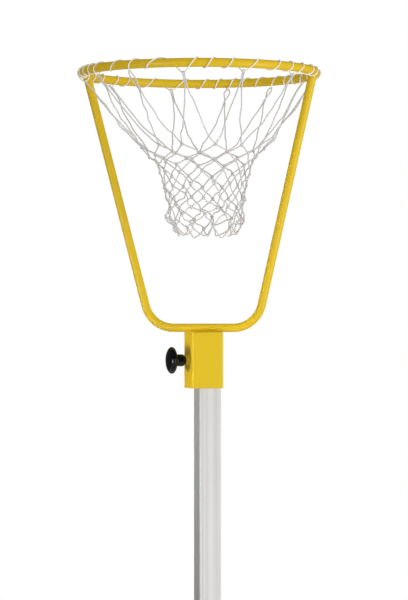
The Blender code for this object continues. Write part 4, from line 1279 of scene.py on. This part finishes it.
# Net. White twine knotted by hand: twelve long top loops, then diamond meshes that draw in to a
# waist and hang slack at the foot. Each crossing is a tight sheet bend, made here as a small
# knotted lump, and the last row is left as loose loops.
net_twine = 0.0027
net_lean = 0.044
net_lean_turn = math.radians(-16.0)
net_lean_way = Vector((math.cos(net_lean_turn), math.sin(net_lean_turn), 0.0))
net_rows = [
    (0.1498, 0.1237), (0.1646, 0.1100), (0.1785, 0.1000), (0.2000, 0.0904), (0.2240, 0.0836),
    (0.2475, 0.0800), (0.2690, 0.0786), (0.2890, 0.0770), (0.3065, 0.0680),
]
first_knots = [34.0, 66.0, 92.8, 120.9, 155.5, 192.0, 226.3, 252.1, 283.5, 310.5, 337.3, 364.5]
net_unevenness = np.random.default_rng(11)
kink_unevenness = np.random.default_rng(5)
bend_shares = (0.0, 0.28, 0.55, 0.8, 1.0)                     # of a top loop's leg, where it bends
kink_shares = (0.12, 0.22, 0.33, 0.44, 0.56, 0.67, 0.78, 0.89)   # where the twine is kinked


def net_place(degrees, radius, drop):
    way = ring_way(degrees)
    return hoop_centre + way * radius + net_lean_way * net_lean * drop - Vector((0.0, 0.0, drop))


def net_knots():
    """Rows of knots; each row's angles lie between those of the row above."""
    rows = []
    angles = np.array(first_knots)
    for row, (drop, radius) in enumerate(net_rows):
        loose = row / (len(net_rows) - 1)
        spread = 0.0018 + 0.0034 * loose
        shake = net_unevenness.normal(0.0, 1.0, (len(angles), 3)) * spread
        places = []
        for angle, (side, out, fall) in zip(angles, shake):
            turn = angle + math.degrees(side / radius)
            places.append(net_place(turn, radius + 0.8 * out, drop + 0.7 * fall))
        rows.append(places)
        angles = (angles + np.append(angles[1:], angles[0] + 360)) / 2
    return rows


def through(points, spacing):
    """A smooth line through the points, with a place about every spacing."""
    points = [Vector(point) for point in points]
    padded = [2 * points[0] - points[1], *points, 2 * points[-1] - points[-2]]
    places = [points[0]]
    for before, start, end, after in zip(padded, padded[1:], padded[2:], padded[3:]):
        leave = (end - before) / 2
        arrive = (after - start) / 2
        steps = max(2, round((end - start).length / spacing))
        for step in range(1, steps + 1):
            t = step / steps
            places.append(
                start * (2 * t**3 - 3 * t**2 + 1) + leave * (t**3 - 2 * t**2 + t)
                + end * (3 * t**2 - 2 * t**3) + arrive * (t**3 - t**2)
            )
    return places


def mesh_bar(start, end, looseness):
    """Twine between two knots, which leaves each one steeply and bows a little sideways."""
    run = end - start
    side = Vector((0.0, 0.0, 1.0)).cross(run).normalized()
    out = run.cross(side).normalized()
    bow = net_unevenness.normal(0.0, 1.0, 4) * (0.0006 + 0.0022 * looseness)
    steep = Vector((run.x, run.y, 0.0)) * 0.03
    first = start + run * 0.33 - steep + side * bow[0] + out * bow[1]
    second = start + run * 0.67 + steep + side * bow[2] + out * bow[3]
    return through([start, first, second, end], 0.004)


def top_loop(spec, left_knot, right_knot):
    """One top loop: up from its left knot, over the let-down lacing and down to its right knot."""
    turn, _, width, eye, together, cross = spec
    degrees = float(np.interp(turn, lacing_turns, lacing_degrees))
    hung = lacing_place(turn, degrees)
    way = ring_way(degrees)
    pull = pull_from(way)
    top = hung - pull * (lacing_cord + net_twine) / 2
    down = ((left_knot + right_knot) / 2 - top).normalized()
    beside = Vector((-way.y, way.x, 0.0))
    beside = (beside - down * beside.dot(down)).normalized()
    front = down.cross(beside)
    touch = net_twine / 2
    halves = []
    for sign, knot in ((-1.0, left_knot), (1.0, right_knot)):
        start = -sign if cross else sign
        points = [
            top + down * 0.0022 + beside * start * (lacing_cord / 2 + touch) * 0.95,
            top + down * (0.004 + eye * 0.35) + beside * start * width / 2,
            top + down * (0.004 + eye) + beside * start * touch * 1.3,
        ]
        for share in (0.35, 0.7, 1.0):
            swing = math.pi * share if cross else 0.0
            aside = beside * math.cos(swing) + front * math.sin(swing)
            points.append(top + down * (0.004 + eye + together * share) + aside * start * touch * 1.1)
        leave = points[-1]
        run = knot - leave
        bends = np.zeros((5, 2))
        bends[1:-1] = net_unevenness.normal(0.0, 0.0020, (3, 2))
        kinks = kink_unevenness.normal(0.0, 0.0007, (len(kink_shares), 2))
        for share, kink in zip(kink_shares, kinks):
            kink_side, kink_out = [np.interp(share, bend_shares, bend) for bend in bends.T] + kink
            sag = Vector((0.0, 0.0, -0.008)) * 4 * share * (1 - share)
            points.append(leave + run * share + sag + beside * kink_side + front * kink_out)
        points.append(knot)
        halves.append(points)
    return through([*reversed(halves[0]), top, *halves[1]], 0.0045)


def foot_loop(left_knot, right_knot):
    """A loose loop of the last row, hanging between two knots."""
    middle = (left_knot + right_knot) / 2
    across = right_knot - left_knot
    inward = Vector((hoop_centre.x - middle.x, hoop_centre.y - middle.y, 0.0)).normalized()
    drop = 0.021 + 0.004 * net_unevenness.normal()
    drift = net_unevenness.normal(0.0, 1.0, 3) * 0.004
    bottom = middle + Vector((0.0, 0.0, -drop)) + inward * (0.009 + drift[0])
    bottom = bottom + across.normalized() * drift[1]
    width = 0.30 + 0.06 * net_unevenness.normal()
    left = middle - across * width + Vector((0.0, 0.0, -drop * 0.55)) + inward * (0.003 + drift[2])
    right = middle + across * width + Vector((0.0, 0.0, -drop * 0.62)) + inward * 0.004
    return through([left_knot, left, bottom, right, right_knot], 0.0035)


def knot_shape():
    """A small tight knot: one closed turn of the twine through itself, as a tube."""
    turns = np.arange(30) * 2 * math.pi / 30
    tight = 0.00100
    line = np.stack([
        -np.sin(3 * turns) * 1.25 * tight, (np.sin(turns) + 2 * np.sin(2 * turns)) * tight,
        (np.cos(turns) - 2 * np.cos(2 * turns)) * tight * 1.15,
    ], axis=1)
    return worked(
        "knot", lines_mesh("knot", [(line, True)]), cords,
        Cord_Diameter=net_twine * 0.95, Sides=6, Finish=net_white,
    )


# The twine's second colour is painted shade in the grooves between its strands.
net_white = white_cord("net_twine_white", (0.75, 0.735, 0.72, 1.0), (0.60, 0.585, 0.57, 1.0))
knots = net_knots()
count = len(first_knots)
twine_lines = []
for column, spec in enumerate(top_loops):
    twine_lines.append((top_loop(spec, knots[0][column - 1], knots[0][column]), False))
for row, (upper, lower) in enumerate(zip(knots, knots[1:])):
    looseness = (row + 1) / len(net_rows)
    for column in range(count):
        for below in (column - 1, column):
            twine_lines.append((mesh_bar(upper[column], lower[below], looseness ** 2), False))
for column in range(count):
    twine_lines.append((foot_loop(knots[-1][column - 1], knots[-1][column]), False))

every_knot = [place for row in knots for place in row]
axis_of_net = hoop_centre + net_lean_way * net_lean * 0.23
outwards = []
for place in every_knot:
    outwards.append(Vector((place.x - axis_of_net.x, place.y - axis_of_net.y, 0.0)).normalized())
twine_mesh = worked(
    "net_dressed", lines_mesh("net_lines", twine_lines), cords,
    Cord_Diameter=net_twine, Sides=8, Finish=net_white,
)
fit("net_dressed", twine_mesh, "head", "net_cord", "net")
knot_mesh = copied(
    "net_knots_dressed", knot_shape(), every_knot, outwards, net_white, Spin=0.5, Size_Change=0.12, Seed=7
)
fit("net_knots_dressed", knot_mesh, "head", "net_cord", "net")
